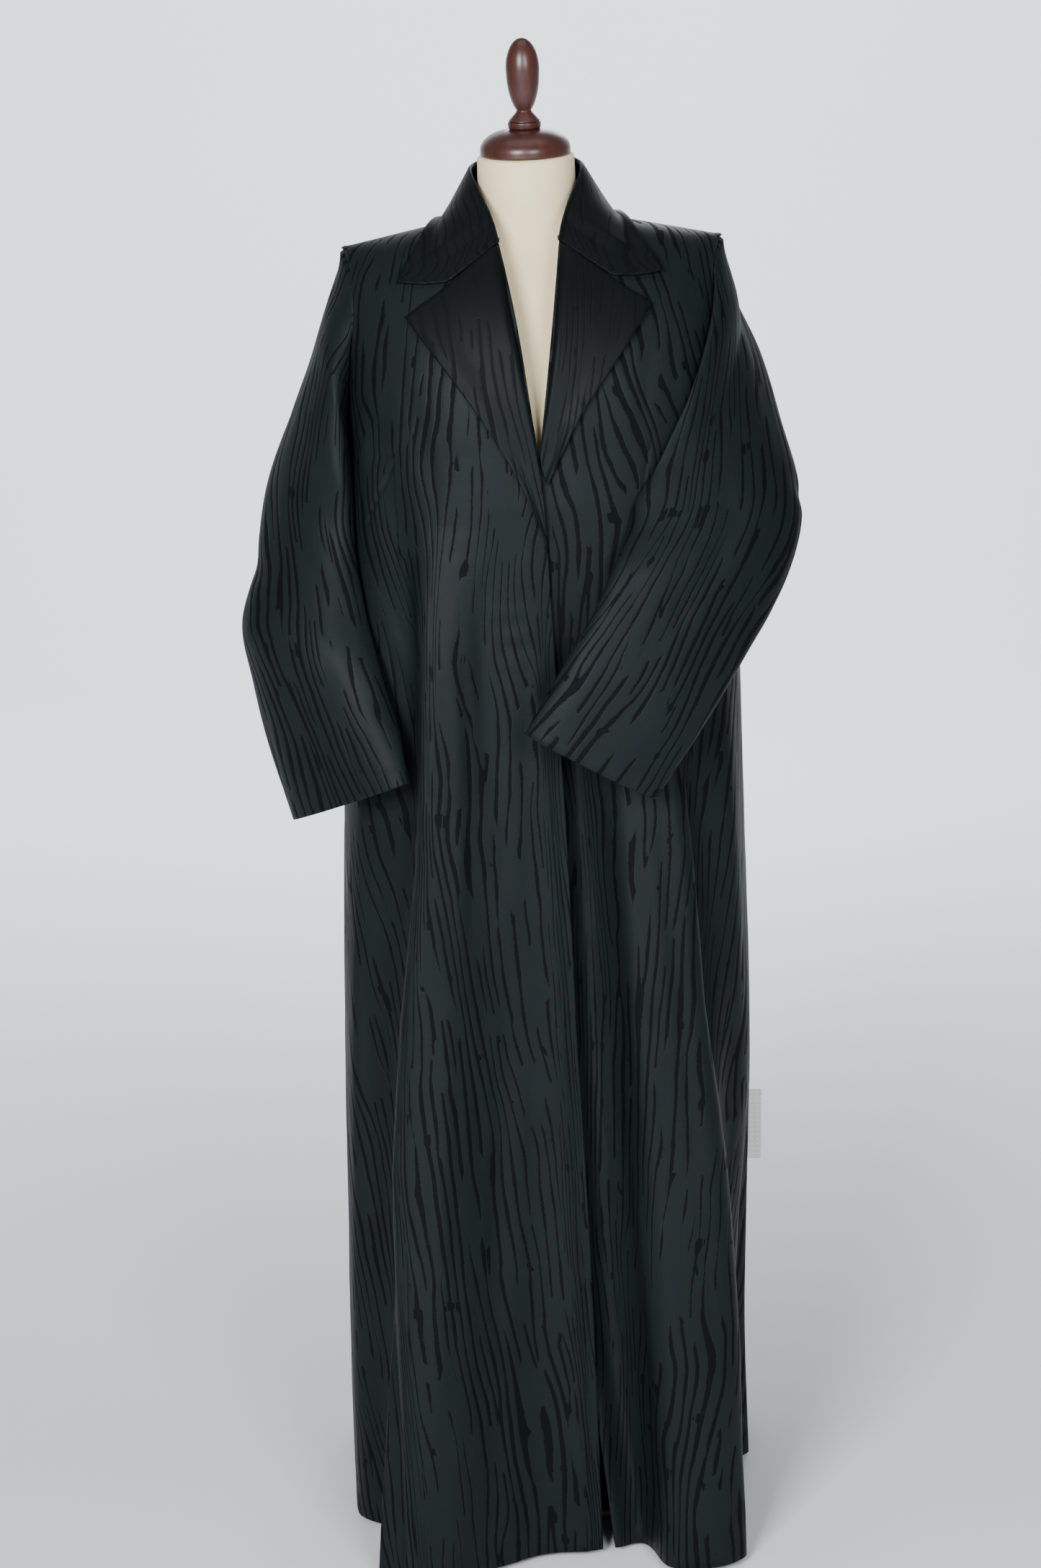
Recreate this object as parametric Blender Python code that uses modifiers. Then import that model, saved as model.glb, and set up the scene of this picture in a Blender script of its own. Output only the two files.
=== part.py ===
"""Long open abaya cloak with a notched collar, worn by a limbless dress form on a turned stand.

Units are metres, +Z is up, and the origin is the centre of the wooden base's underside.
+X is the wearer's left, -Y is the front. The cloth is a thin wall on one garment surface:
stacked rounded sections with hand-placed folds, closed above the armpits by a padded shoulder.
"""
from collections import namedtuple

import bmesh
import bpy
import numpy as np
from mathutils import Vector

COLLECTION = "abaya_cloak_on_dress_form"

# Driving dimensions of the cloak
WALL = 0.0015            # thickness of the satin cloth
SEAM = 0.0004            # half of the gap kept at each seam
TIP_SEAM = 0.0007        # what the shoulder seam's gap gains at its tip, where the wall turns
HEM_Z = 0.008
ARMPIT_Z = 1.195
TIP_Z = 1.407            # height of the shoulder tip
TIP_X = 0.203            # half of the width across the padded shoulders
SHOULDER_SLOPE = 0.203   # rise of the shoulder seam for each unit towards the neck
SHOULDER_ROUND = 2.3     # exponent of the curve from the chest over the shoulder
NECK_POINT_X = 0.068     # where the shoulder seam meets the neckline
BACK_NECK_Y = 0.066
GORGE_X = 0.032          # where the neckline meets the roll line of the lapel
GORGE_Y = 0.090
GORGE_Z = 1.405
ARMHOLE_DIP_FRONT = 24.0
ARMHOLE_DIP_BACK = 18.0  # degrees by which the armhole cuts into the panel behind, as in front above
ARMHOLE_BOW = 0.8
EDGE_RISE = 0.9          # how fast a front's edge climbs beside the armhole
UNDER_DROP = 0.0055      # how far the lower front lies beneath the upper one
UNDER_RAMP = 0.045       # width over which it comes up beside the overlap

# Driving dimensions of the dress form and its stand
FORM_BOTTOM_Z = 0.700
NECK_TOP_Z = 1.4965
NECK_TILT = 8.0          # degrees that the neck's top leans forward
BASE_RADIUS = 0.150
BASE_HEIGHT = 0.034
POLE_RADIUS = 0.016
TOUCH = 0.0003           # gap between pieces that touch

# Mesh fineness
LOWER_ROWS = 17
# Places of the panels' upper rows along the armhole, closer together over the shoulder
ARMHOLE_TURNS = np.append(np.linspace(-90.0, 70.0, 9), (80.0, 90.0))
FRONT_COLUMNS = 12
BACK_COLUMNS = 20
SLEEVE_ROWS = 17
TURNED_STEPS = 24
SAMPLES = 160
HALVINGS = 26
SLOPE_STEP = 0.004
TINY = 1e-6
MERGE = 0.00005
SHARP = 40.0             # degrees between faces above which their edge is drawn sharp
ROW_CROWDING = 1.35      # above 1, rows lie closer together towards the armpit

Section = namedtuple("Section", "z left right front back square")
SECTIONS = [
    Section(0.000, 0.250, 0.206, 0.287, 0.215, 3.10),
    Section(0.190, 0.248, 0.205, 0.262, 0.205, 3.00),
    Section(0.300, 0.245, 0.209, 0.246, 0.198, 2.90),
    Section(0.460, 0.241, 0.215, 0.222, 0.188, 2.75),
    Section(0.600, 0.236, 0.216, 0.203, 0.176, 2.65),
    Section(0.800, 0.226, 0.215, 0.182, 0.162, 2.60),
    Section(0.960, 0.215, 0.214, 0.170, 0.148, 2.60),
    Section(1.080, 0.207, 0.210, 0.163, 0.137, 2.60),
    Section(1.195, 0.200, 0.206, 0.160, 0.128, 2.60),
]

# Folds run down from top_z: angle from the panel's centre in degrees, towards +X,
# at the top and at the hem, half widths on the -X and +X sides, and depth at the hem, out +
Fold = namedtuple("Fold", "facing angle_top angle_hem width_minus width_plus top_z depth growth")
FOLDS = [
    Fold(-1, 2.0, 3.0, 25.0, 25.0, 1.14, -0.058, 0.9),
    Fold(-1, -18.0, -22.0, 18.0, 18.0, 0.90, 0.016, 1.0),
    Fold(-1, 20.0, 28.0, 18.0, 18.0, 0.85, 0.014, 1.0),
    Fold(-1, -28.0, -41.0, 9.0, 24.0, 1.12, 0.038, 0.7),
    Fold(-1, -48.0, -62.0, 14.0, 17.0, 1.00, -0.022, 0.8),
    Fold(-1, 27.0, 54.0, 24.0, 10.0, 1.02, 0.034, 0.8),
    Fold(-1, 60.0, 72.0, 12.0, 14.0, 0.80, -0.012, 0.9),
    Fold(1, -60.0, -64.0, 14.0, 15.0, 0.95, 0.018, 1.0),
    Fold(1, -36.0, -42.0, 15.0, 14.0, 1.02, -0.020, 0.9),
    Fold(1, -17.0, -20.0, 16.0, 16.0, 0.92, 0.020, 1.0),
    Fold(1, 3.0, 5.0, 15.0, 17.0, 1.08, -0.024, 0.9),
    Fold(1, 24.0, 29.0, 17.0, 14.0, 0.88, 0.018, 1.0),
    Fold(1, 43.0, 50.0, 13.0, 14.0, 0.98, -0.018, 0.9),
    Fold(1, 64.0, 70.0, 13.0, 14.0, 0.84, 0.014, 1.0),
]

# Front edges: x of the upper front (wearer's right) and of the lower front at each height
EdgeRow = namedtuple("EdgeRow", "z upper lower")
FRONT_EDGES = [
    EdgeRow(0.000, 0.031, 0.046),
    EdgeRow(0.150, 0.030, 0.030),
    EdgeRow(0.334, 0.028, 0.004),
    EdgeRow(0.594, 0.021, -0.022),
    EdgeRow(0.764, 0.018, -0.034),
    EdgeRow(0.933, 0.013, -0.036),
    EdgeRow(1.060, 0.009, -0.026),
    EdgeRow(1.120, 0.007, -0.012),
    EdgeRow(1.180, 0.003, 0.001),
    EdgeRow(1.243, -0.006, 0.012),
    EdgeRow(1.306, -0.0155, 0.0215),
    EdgeRow(1.361, -0.025, 0.028),
    EdgeRow(GORGE_Z, -GORGE_X, GORGE_X),
]

# Outer edge of each lapel, from its break to its point
EdgePoint = namedtuple("EdgePoint", "x z")
UPPER_LAPEL_EDGE = [EdgePoint(0.0080, 1.1040), EdgePoint(-0.0144, 1.1600), EdgePoint(-0.0353, 1.2010),
                    EdgePoint(-0.0733, 1.2610), EdgePoint(-0.1080, 1.3090), EdgePoint(-0.1273, 1.3355)]
UNDER_LAPEL_EDGE = [EdgePoint(0.0100, 1.1640), EdgePoint(0.0270, 1.1980), EdgePoint(0.0462, 1.2330),
                    EdgePoint(0.0888, 1.2930), EdgePoint(0.1221, 1.3410)]
LAPEL_ROWS = 12
LAPEL_COLUMNS = 7
LAPEL_REST = 0.0031      # height of the lapel's face over the front that it lies on
LAPEL_ROLL = 0.0045      # further height of the soft roll
ROLL_PLACE = 0.12        # share of the lapel's width where the roll stands highest
ROLL_WIDTH = 0.050       # width of lapel at which the roll stands at its full height
LAPEL_START = 0.018      # height from the break's outer corner to its roll corner
GORGE_CLEAR = 0.0015     # gap between the lapel's top edge and the collar
UNDER_CLEAR = 0.0020     # gap between the lapel beneath and the upper front's edge

# Collar on the -X side, from the gorge to the centre of the back; the other side mirrors it
# with a middle point, which is the notch's inner corner in the first row
CollarRow = namedtuple("CollarRow", "roll_x roll_y roll_z middle_x middle_y edge_x edge_y")
COLLAR = [
    CollarRow(0.0315, -0.0945, 1.411, 0.0830, -0.1140, 0.1340, -0.0965),
    CollarRow(0.0365, -0.0775, 1.430, 0.0850, -0.1010, 0.1290, -0.0900),
    CollarRow(0.0450, -0.0520, 1.451, 0.0830, -0.0680, 0.1140, -0.0720),
    CollarRow(0.0590, -0.0050, 1.479, 0.0780, -0.0100, 0.0970, -0.0140),
    CollarRow(0.0560, 0.0330, 1.489, 0.0760, 0.0370, 0.0930, 0.0400),
    CollarRow(0.0340, 0.0600, 1.496, 0.0500, 0.0720, 0.0640, 0.0800),
    CollarRow(0.0000, 0.0690, 1.499, 0.0000, 0.0860, 0.0000, 0.0960),
]
COLLAR_STATIONS = 25
COLLAR_GAP = 0.0021      # half of the space between the collar's stand and its fall
COLLAR_REST = 0.0042     # height of the fall's middle over the cloth beneath
FALL_POINTS = 7
NOTCH_Y = -0.095         # in front of this the collar's middle line lies on the chest
FOOT_INSET = 0.0055      # how far the stand's foot lies inside the neckline

# Sleeves: centre of each ring, half vector to its outer side and half vector to its front side
SleeveRow = namedtuple("SleeveRow", "cx cy cz ox oy oz fx fy fz")
SLEEVE_ROWS_RIGHT = [
    SleeveRow(-0.1950, -0.008, 1.3000, -0.0060, 0.000, 0.1040, 0.004, -0.0740, 0.000),
    SleeveRow(-0.2080, -0.008, 1.2660, -0.0110, 0.000, 0.0850, 0.006, -0.0770, 0.000),
    SleeveRow(-0.2180, -0.010, 1.2300, -0.0180, 0.000, 0.0670, 0.012, -0.0800, 0.000),
    SleeveRow(-0.2310, -0.014, 1.1860, -0.0280, 0.000, 0.0500, 0.022, -0.0800, -0.002),
    SleeveRow(-0.2440, -0.016, 1.1240, -0.0400, 0.004, 0.0330, 0.034, -0.0780, -0.006),
    SleeveRow(-0.2450, -0.046, 1.0500, -0.0420, -0.020, 0.0200, 0.050, -0.0720, -0.010),
    SleeveRow(-0.2470, -0.080, 0.9950, -0.0400, -0.026, 0.0150, 0.067, -0.0620, -0.012),
    SleeveRow(-0.2380, -0.096, 0.9450, -0.0320, -0.025, 0.0060, 0.070, -0.0590, -0.004),
    SleeveRow(-0.2260, -0.114, 0.8950, -0.0240, -0.024, 0.0020, 0.070, -0.0560, 0.012),
    SleeveRow(-0.2110, -0.140, 0.8345, -0.0140, -0.019, -0.0020, 0.064, -0.0525, 0.0285),
]
SLEEVE_ROWS_LEFT = [
    SleeveRow(0.2010, -0.008, 1.3000, 0.0060, 0.000, 0.1040, -0.004, -0.0740, 0.000),
    SleeveRow(0.1985, -0.024, 1.2620, 0.0100, -0.003, 0.0830, -0.036, -0.0880, 0.000),
    SleeveRow(0.1920, -0.046, 1.2250, 0.0300, -0.010, 0.0540, -0.052, -0.0860, -0.002),
    SleeveRow(0.1880, -0.072, 1.1850, 0.0360, -0.010, 0.0420, -0.066, -0.0760, -0.004),
    SleeveRow(0.1860, -0.100, 1.1450, 0.0380, -0.020, 0.0280, -0.082, -0.0600, 0.004),
    SleeveRow(0.1840, -0.126, 1.1080, 0.0300, -0.026, 0.0140, -0.088, -0.0480, 0.010),
    SleeveRow(0.1645, -0.160, 1.0640, 0.0140, -0.026, 0.0040, -0.0890, -0.0400, 0.018),
    SleeveRow(0.1290, -0.186, 1.0050, 0.0060, -0.025, 0.0020, -0.0810, -0.0260, 0.025),
    SleeveRow(0.0895, -0.206, 0.9460, 0.0020, -0.023, 0.0000, -0.0730, -0.0140, 0.034),
    SleeveRow(0.0440, -0.218, 0.8800, 0.0000, -0.019, 0.0000, -0.0665, -0.0050, 0.038),
]
SLEEVE_BLEND = 0.20      # share of the sleeve over which it leaves the armhole's own curve
ARMHOLE_INSET = 0.0022   # how far the sleeve's head lies inside the armhole
HEAD_OUT = 0.0005        # how far the sleeve's head stands outside the armhole's edge
SLEEVE_CLEARANCE = 0.0030
SLEEVE_SPREAD = 0.16     # share of the sleeve over which that clearance grows
SLEEVE_FLATTEST = 0.0160 # least space between the side that faces the body and the outer side

LABEL_WIDTH = 0.0140
LABEL_HEIGHT = 0.0820
LABEL_THICKNESS = 0.0008
LABEL_TOP_Z = 0.452
LABEL_SEGMENTS = 8

# The dress form's body: half widths, depths in front and behind, and how square each ring is
FormRing = namedtuple("FormRing", "z half front back square")
FORM_RINGS = [
    FormRing(FORM_BOTTOM_Z, 0.150, 0.092, 0.104, 2.3),
    FormRing(0.708, 0.160, 0.100, 0.112, 2.3),
    FormRing(0.760, 0.168, 0.106, 0.120, 2.3),
    FormRing(0.830, 0.166, 0.108, 0.118, 2.3),
    FormRing(0.920, 0.142, 0.102, 0.100, 2.2),
    FormRing(1.000, 0.122, 0.098, 0.086, 2.2),
    FormRing(1.080, 0.132, 0.108, 0.092, 2.2),
    FormRing(1.150, 0.146, 0.124, 0.100, 2.2),
    FormRing(1.205, 0.154, 0.132, 0.104, 2.2),
    FormRing(1.260, 0.158, 0.122, 0.104, 2.3),
    FormRing(1.320, 0.166, 0.102, 0.098, 2.4),
    FormRing(1.360, 0.170, 0.086, 0.086, 2.4),
    FormRing(1.385, 0.166, 0.070, 0.072, 2.3),
    FormRing(1.402, 0.156, 0.060, 0.062, 2.0),
    FormRing(1.411, 0.150, 0.056, 0.058, 1.7),
    FormRing(1.4185, 0.1368, 0.053, 0.055, 1.5),
    FormRing(1.4272, 0.0940, 0.051, 0.051, 1.35),
    FormRing(1.4310, 0.0570, 0.0510, 0.0510, 2.0),
    FormRing(1.4550, 0.0525, 0.0515, 0.0525, 2.0),
    FormRing(NECK_TOP_Z, 0.0515, 0.0520, 0.0520, 2.0),
]
FORM_SIDES = 28

# Turned profiles, each listed from its top down: elliptic arcs in degrees from +X towards +Z,
# with heights over the piece's own seat; a corner is an arc of no size
Arc = namedtuple("Arc", "centre_r centre_z size_r size_z first last points")


def corner(radius, z):
    """A single point of a turned profile."""
    return Arc(radius, z, 0.0, 0.0, 0.0, 0.0, 1)


CAP_HEIGHT = 0.0270
RING_HEIGHT = 0.0070
CAP_PROFILE = [
    corner(0.0, CAP_HEIGHT),
    Arc(0.0120, 0.0060, 0.0360, 0.0210, 90, 0, 7),
    corner(0.0480, 0.0015),
    corner(0.0465, 0.0),
    corner(0.0, 0.0),
]
RING_PROFILE = [
    corner(0.0, RING_HEIGHT),
    corner(0.0170, RING_HEIGHT),
    corner(0.0176, RING_HEIGHT - 0.0008),
    corner(0.0176, 0.0022),
    corner(0.0166, 0.0),
    corner(0.0, 0.0),
]
FINIAL_PROFILE = [
    corner(0.0, 0.0855),
    Arc(0.0, 0.0540, 0.0178, 0.0315, 78, 0, 5),
    Arc(0.0, 0.0540, 0.0178, 0.0474, -16, -64, 5),
    corner(0.0084, 0.0095),
    corner(0.0165, 0.0010),
    corner(0.0165, 0.0),
    corner(0.0, 0.0),
]
BASE_PROFILE = [
    corner(0.0, BASE_HEIGHT),
    corner(0.0300, BASE_HEIGHT),
    Arc(0.0380, BASE_HEIGHT, 0.0080, 0.0080, 210, 270, 3),
    Arc(0.0620, BASE_HEIGHT - 0.0160, 0.0700, 0.0080, 90, 0, 6),
    Arc(BASE_RADIUS - 0.0180, 0.0090, 0.0180, 0.0090, 70, 0, 4),
    corner(BASE_RADIUS, 0.0030),
    corner(BASE_RADIUS - 0.0030, 0.0),
    corner(0.0, 0.0),
]


def smooth_value(xs, ys, x):
    """Cubic curve through table values, with slopes taken from their neighbours."""
    xs = np.asarray(xs, float)
    ys = np.asarray(ys, float)
    x = np.clip(np.asarray(x, float), xs[0], xs[-1])
    slopes = np.gradient(ys, xs)
    i = np.clip(np.searchsorted(xs, x, side="right") - 1, 0, len(xs) - 2)
    span = xs[i + 1] - xs[i]
    t = (x - xs[i]) / span
    start = ys[i] * (1 + 2 * t) * (1 - t) ** 2 + slopes[i] * span * t * (1 - t) ** 2
    end = ys[i + 1] * t ** 2 * (3 - 2 * t) + slopes[i + 1] * span * t ** 2 * (t - 1)
    return start + end


def ease(t):
    """Smooth step from 0 to 1."""
    t = np.clip(t, 0.0, 1.0)
    return t * t * (3 - 2 * t)


def section(column, z):
    """A column of the section table at a height."""
    return smooth_value([row.z for row in SECTIONS], [getattr(row, column) for row in SECTIONS], z)


def side_reach(x_sign, z):
    """Half width of the cloth on the side that the sign names."""
    return np.where(x_sign < 0, section("left", z), section("right", z))


def shoulder_height(x):
    """Height of the shoulder line over each x."""
    return TIP_Z + (TIP_X - np.abs(x)) * SHOULDER_SLOPE


def fold_depth(facing, angle, z):
    """How far the folds push the cloth out at an angle in degrees and a height."""
    total = np.zeros_like(angle * z)
    for fold in FOLDS:
        if fold.facing != facing:
            continue
        down = np.clip((fold.top_z - z) / (fold.top_z - HEM_Z), 0.0, 1.0)
        centre = fold.angle_top + (fold.angle_hem - fold.angle_top) * down
        offset = angle - centre
        width = np.where(offset < 0, fold.width_minus, fold.width_plus)
        bump = 0.5 + 0.5 * np.cos(np.pi * np.clip(offset / width, -1.0, 1.0))
        total = total + fold.depth * down ** fold.growth * bump
    return total


def cloth_point(facing, angle, level, rise):
    """Points of the garment surface.

    facing is -1 in front and +1 behind, angle runs from the panel's centre towards +X in
    degrees, level is a height up to the armpit, and rise goes from 0 there to 90 at the
    shoulder seam.
    """
    angle, level, rise = np.broadcast_arrays(*(np.asarray(v, float) for v in (angle, level, rise)))
    turn = np.radians(angle)
    lift = np.radians(rise)
    square = 2.0 / section("square", level)
    power = 2.0 / SHOULDER_ROUND
    reach = side_reach(angle, level)
    depth = section("front" if facing < 0 else "back", level)
    across = np.sign(turn) * np.abs(np.sin(turn)) ** square
    along = np.maximum(np.cos(turn), 0.0) ** square
    x = reach * across
    y = facing * depth * along * np.maximum(np.cos(lift), 0.0) ** power
    z = level + (shoulder_height(x) - level) * np.abs(np.sin(lift)) ** power
    steep = 2.0 / square - 1.0
    normal_x = np.sign(across) * np.abs(across) ** steep / reach
    normal_y = facing * along ** steep / depth
    length = np.hypot(normal_x, normal_y)
    push = fold_depth(facing, angle, level) * (rise <= 0)
    return np.stack([x + push * normal_x / length, y + push * normal_y / length, z], -1)


def angle_at(x, z):
    """Angle in degrees of the surface point that has this x at this height."""
    reach = side_reach(x, z)
    share = np.clip(np.abs(x) / reach, 0.0, 1.0) ** (section("square", z) / 2.0)
    return np.sign(x) * np.degrees(np.arcsin(share))


def surface_y(facing, x, z):
    """Depth of the garment surface over a point x, z, without its folds above the waist."""
    level = np.minimum(z, ARMPIT_Z)
    height = np.clip((z - level) / (shoulder_height(x) - level), 0.0, 1.0)
    shrink = (1.0 - height ** SHOULDER_ROUND) ** (1.0 / SHOULDER_ROUND)
    square = section("square", level)
    share = np.clip(np.abs(x) / side_reach(x, level), 0.0, 1.0)
    depth = section("front" if facing < 0 else "back", level)
    flat = facing * depth * shrink * (1.0 - share ** square) ** (1.0 / square)
    push = fold_depth(facing, angle_at(x, level), level) * (z < ARMPIT_Z)
    return flat + facing * push


def surface_z(x, y):
    """Height of the garment surface over a point x, y of the shoulders."""
    square = section("square", ARMPIT_Z)
    share = np.clip(np.abs(x) / side_reach(x, ARMPIT_Z), 0.0, 1.0)
    depth = np.where(y < 0, section("front", ARMPIT_Z), section("back", ARMPIT_Z))
    room = depth * (1.0 - share ** square) ** (1.0 / square)
    height = (1.0 - np.clip(np.abs(y) / room, 0.0, 1.0) ** SHOULDER_ROUND) ** (1.0 / SHOULDER_ROUND)
    return ARMPIT_Z + (shoulder_height(x) - ARMPIT_Z) * height


def lifted_clear(points, clearance):
    """Points over the shoulders moved out until they clear the garment surface."""
    centre = np.array([0.0, 0.0, ARMPIT_Z])
    rays = points - centre
    near = np.full(points.shape[:-1], 0.2)
    far = np.full(points.shape[:-1], 2.0)
    for _ in range(HALVINGS):
        scale = (near + far) / 2
        trial = rays * scale[..., None]
        square = section("square", ARMPIT_Z)
        share = np.clip(np.abs(trial[..., 0]) / side_reach(trial[..., 0], ARMPIT_Z), 0.0, 0.999)
        depth = np.where(trial[..., 1] < 0, section("front", ARMPIT_Z), section("back", ARMPIT_Z))
        room = depth * (1.0 - share ** square) ** (1.0 / square)
        tall = np.abs(trial[..., 2]) / (shoulder_height(trial[..., 0]) - ARMPIT_Z)
        outside = (np.abs(trial[..., 1]) / room) ** SHOULDER_ROUND + tall ** SHOULDER_ROUND > 1.0
        far = np.where(outside, scale, far)
        near = np.where(outside, near, scale)
    length = np.linalg.norm(rays, axis=-1)
    wanted = np.maximum(length, length * near + clearance)
    return centre + rays * (wanted / length)[..., None]


def front_edge_x(column, z):
    """x of a front's edge at a height."""
    return smooth_value([row.z for row in FRONT_EDGES], [getattr(row, column) for row in FRONT_EDGES], z)


def armhole_rises(turns):
    """Rise of the armhole's edge at each turn of the sleeve's head, -90 at the armpit, 90 on top."""
    height = (1.0 + np.sin(np.radians(turns))) / 2.0
    return np.degrees(np.arcsin(np.clip(height, 0.0, 1.0) ** (SHOULDER_ROUND / 2.0)))


def armhole_angle(facing, share):
    """Angle of the armhole's edge, from the armpit (share 0) to the shoulder tip (share 1)."""
    dip = ARMHOLE_DIP_FRONT if facing < 0 else ARMHOLE_DIP_BACK
    return 90.0 - dip * np.sin(np.pi * share) ** ARMHOLE_BOW


def neckline_y(facing, x):
    """Depth of the neckline at x, in front or behind."""
    x = np.abs(x)
    if facing < 0:
        share = np.clip((x - GORGE_X) / (NECK_POINT_X - GORGE_X), 0.0, 1.0)
        return GORGE_Y * np.sqrt(1.0 - share ** 2)
    return BACK_NECK_Y * np.sqrt(1.0 - np.clip(x / NECK_POINT_X, 0.0, 1.0) ** 2)


def top_rise(facing, angle):
    """Rise of the panel's top edge: the shoulder seam, or the neckline inside the neck point."""
    flat = cloth_point(facing, angle, ARMPIT_Z, 0.0)
    room = np.maximum(np.abs(flat[..., 1]), TINY)
    share = np.clip(neckline_y(facing, flat[..., 0]) / room, 0.0, 1.0) ** (SHOULDER_ROUND / 2.0)
    share = np.where(np.abs(flat[..., 0]) < NECK_POINT_X, share, 0.0)
    return np.degrees(np.arccos(share))


def resampled(points, count):
    """The same curve with its points at equal distances."""
    steps = np.linalg.norm(np.diff(points, axis=0), axis=1)
    length = np.concatenate([[0.0], np.cumsum(steps)])
    wanted = np.linspace(0.0, length[-1], count)
    return np.stack([np.interp(wanted, length, points[:, k]) for k in range(3)], -1)


def panel_grid(facing, lower_span, upper_span, columns):
    """Rows of a panel from hem to shoulder; the spans give its first and last angle in each row."""
    across = np.linspace(0.0, 1.0, SAMPLES)
    rows = []
    shares = 1.0 - (1.0 - np.linspace(0.0, 1.0, LOWER_ROWS + 1)) ** ROW_CROWDING
    for z in HEM_Z + (ARMPIT_Z - HEM_Z) * shares:
        first, last = lower_span(z)
        rows.append(cloth_point(facing, first + (last - first) * across, z, 0.0))
    for share in armhole_rises(ARMHOLE_TURNS)[1:] / 90.0:
        first, last = upper_span(share)
        angle = first + (last - first) * across
        rows.append(cloth_point(facing, angle, ARMPIT_Z, share * top_rise(facing, angle)))
    grid = np.stack([resampled(row, columns + 1) for row in rows])
    seam = SEAM + TIP_SEAM * (grid[..., 2] > ARMPIT_Z) * (np.abs(grid[..., 0]) / TIP_X) ** 8
    grid[..., 1] = facing * np.maximum(facing * grid[..., 1], seam)
    return grid


def grid_normals(grid):
    """Unit normals of a grid of points, along the cross product of its row and column steps."""
    normals = np.cross(np.gradient(grid, axis=1), np.gradient(grid, axis=0))
    length = np.linalg.norm(normals, axis=-1, keepdims=True)
    return normals / np.maximum(length, TINY)


def front_normals(x, z):
    """Unit normals of the garment's front over points x, z, from its slopes."""
    slope_x = (surface_y(-1, x + SLOPE_STEP, z) - surface_y(-1, x - SLOPE_STEP, z)) / (2 * SLOPE_STEP)
    slope_z = (surface_y(-1, x, z + SLOPE_STEP) - surface_y(-1, x, z - SLOPE_STEP)) / (2 * SLOPE_STEP)
    normals = np.stack([slope_x, -np.ones_like(x), slope_z], -1)
    return normals / np.linalg.norm(normals, axis=-1, keepdims=True)


def upper_front_grid():
    """The wearer's right front, from the side seam to its edge, over the other front."""
    gorge = float(angle_at(-GORGE_X, ARMPIT_Z))

    def lower_span(z):
        return -90.0, float(angle_at(front_edge_x("upper", z), z))

    def upper_span(share):
        z = ARMPIT_Z + (GORGE_Z - ARMPIT_Z) * share ** EDGE_RISE
        edge = float(angle_at(front_edge_x("upper", z), ARMPIT_Z)) if share < 1 else gorge
        return -armhole_angle(-1, share), edge

    return panel_grid(-1, lower_span, upper_span, FRONT_COLUMNS)


def under_drop(x, z):
    """How far the lower front lies beneath the garment surface."""
    cover = front_edge_x("upper", np.minimum(z, GORGE_Z)) + UNDER_RAMP
    return UNDER_DROP * ease((cover - x) / UNDER_RAMP)


def lower_front_grid():
    """The wearer's left front, whose edge runs beneath the other front."""
    gorge = float(angle_at(GORGE_X, ARMPIT_Z))

    def lower_span(z):
        return float(angle_at(front_edge_x("lower", z), z)), 90.0

    def upper_span(share):
        z = ARMPIT_Z + (GORGE_Z - ARMPIT_Z) * share ** EDGE_RISE
        edge = float(angle_at(front_edge_x("lower", z), ARMPIT_Z)) if share < 1 else gorge
        return edge, armhole_angle(-1, share)

    grid = panel_grid(-1, lower_span, upper_span, FRONT_COLUMNS)
    drop = under_drop(grid[..., 0], grid[..., 2])
    return grid - grid_normals(grid) * drop[..., None]


def back_grid():
    """The back panel, from the wearer's right side seam to the left one."""
    return panel_grid(1, lambda z: (-90.0, 90.0),
                      lambda share: (-armhole_angle(1, share), armhole_angle(1, share)), BACK_COLUMNS)


def lapel_grid(edge_points, roll_column, side):
    """A lapel from its break up to its top edge, on the front that it lies on."""
    share = np.linspace(0.0, 1.0, LAPEL_ROWS)
    edge_z = [point.z for point in edge_points]
    wanted_z = edge_z[0] + (edge_z[-1] - edge_z[0]) * share
    edge_x = smooth_value(edge_z, [point.x for point in edge_points], wanted_z)
    first_roll_z = edge_z[0] + LAPEL_START
    roll_z = first_roll_z + (GORGE_Z - GORGE_CLEAR - first_roll_z) * share
    roll_x = front_edge_x(roll_column, roll_z)
    if side > 0:
        cover = front_edge_x("upper", roll_z) + UNDER_CLEAR
        roll_x = np.minimum(np.maximum(roll_x, cover), edge_x - UNDER_CLEAR * side)
    across = np.linspace(0.0, 1.0, LAPEL_COLUMNS)
    x = roll_x[:, None] + (edge_x - roll_x)[:, None] * across
    z = roll_z[:, None] + (wanted_z - roll_z)[:, None] * across
    base = np.stack([x, surface_y(-1, x, z), z], -1)
    normals = front_normals(x, z)
    roll = np.sin(np.pi * np.clip(across / ROLL_PLACE, 0, 1) / 2) * (1 - across) ** 1.5
    grown = ease(np.abs(edge_x - roll_x) / ROLL_WIDTH)
    height = LAPEL_REST + LAPEL_ROLL * roll[None, :] * grown[:, None]
    if side > 0:
        height = height - under_drop(x, z)
    return base + normals * height[..., None]


def collar_rows():
    """The collar table at evenly placed stations from the -X gorge to the +X gorge."""
    places = np.linspace(-1.0, 1.0, 2 * len(COLLAR) - 1)
    stations = np.linspace(-1.0, 1.0, COLLAR_STATIONS)
    values = {}
    for column in CollarRow._fields:
        half = [getattr(row, column) for row in COLLAR]
        sign = 1.0 if column.endswith(("y", "z")) else -1.0
        whole = [sign * v for v in half] + half[-2::-1]
        values[column] = smooth_value(places, whole, stations)
    return values


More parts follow.
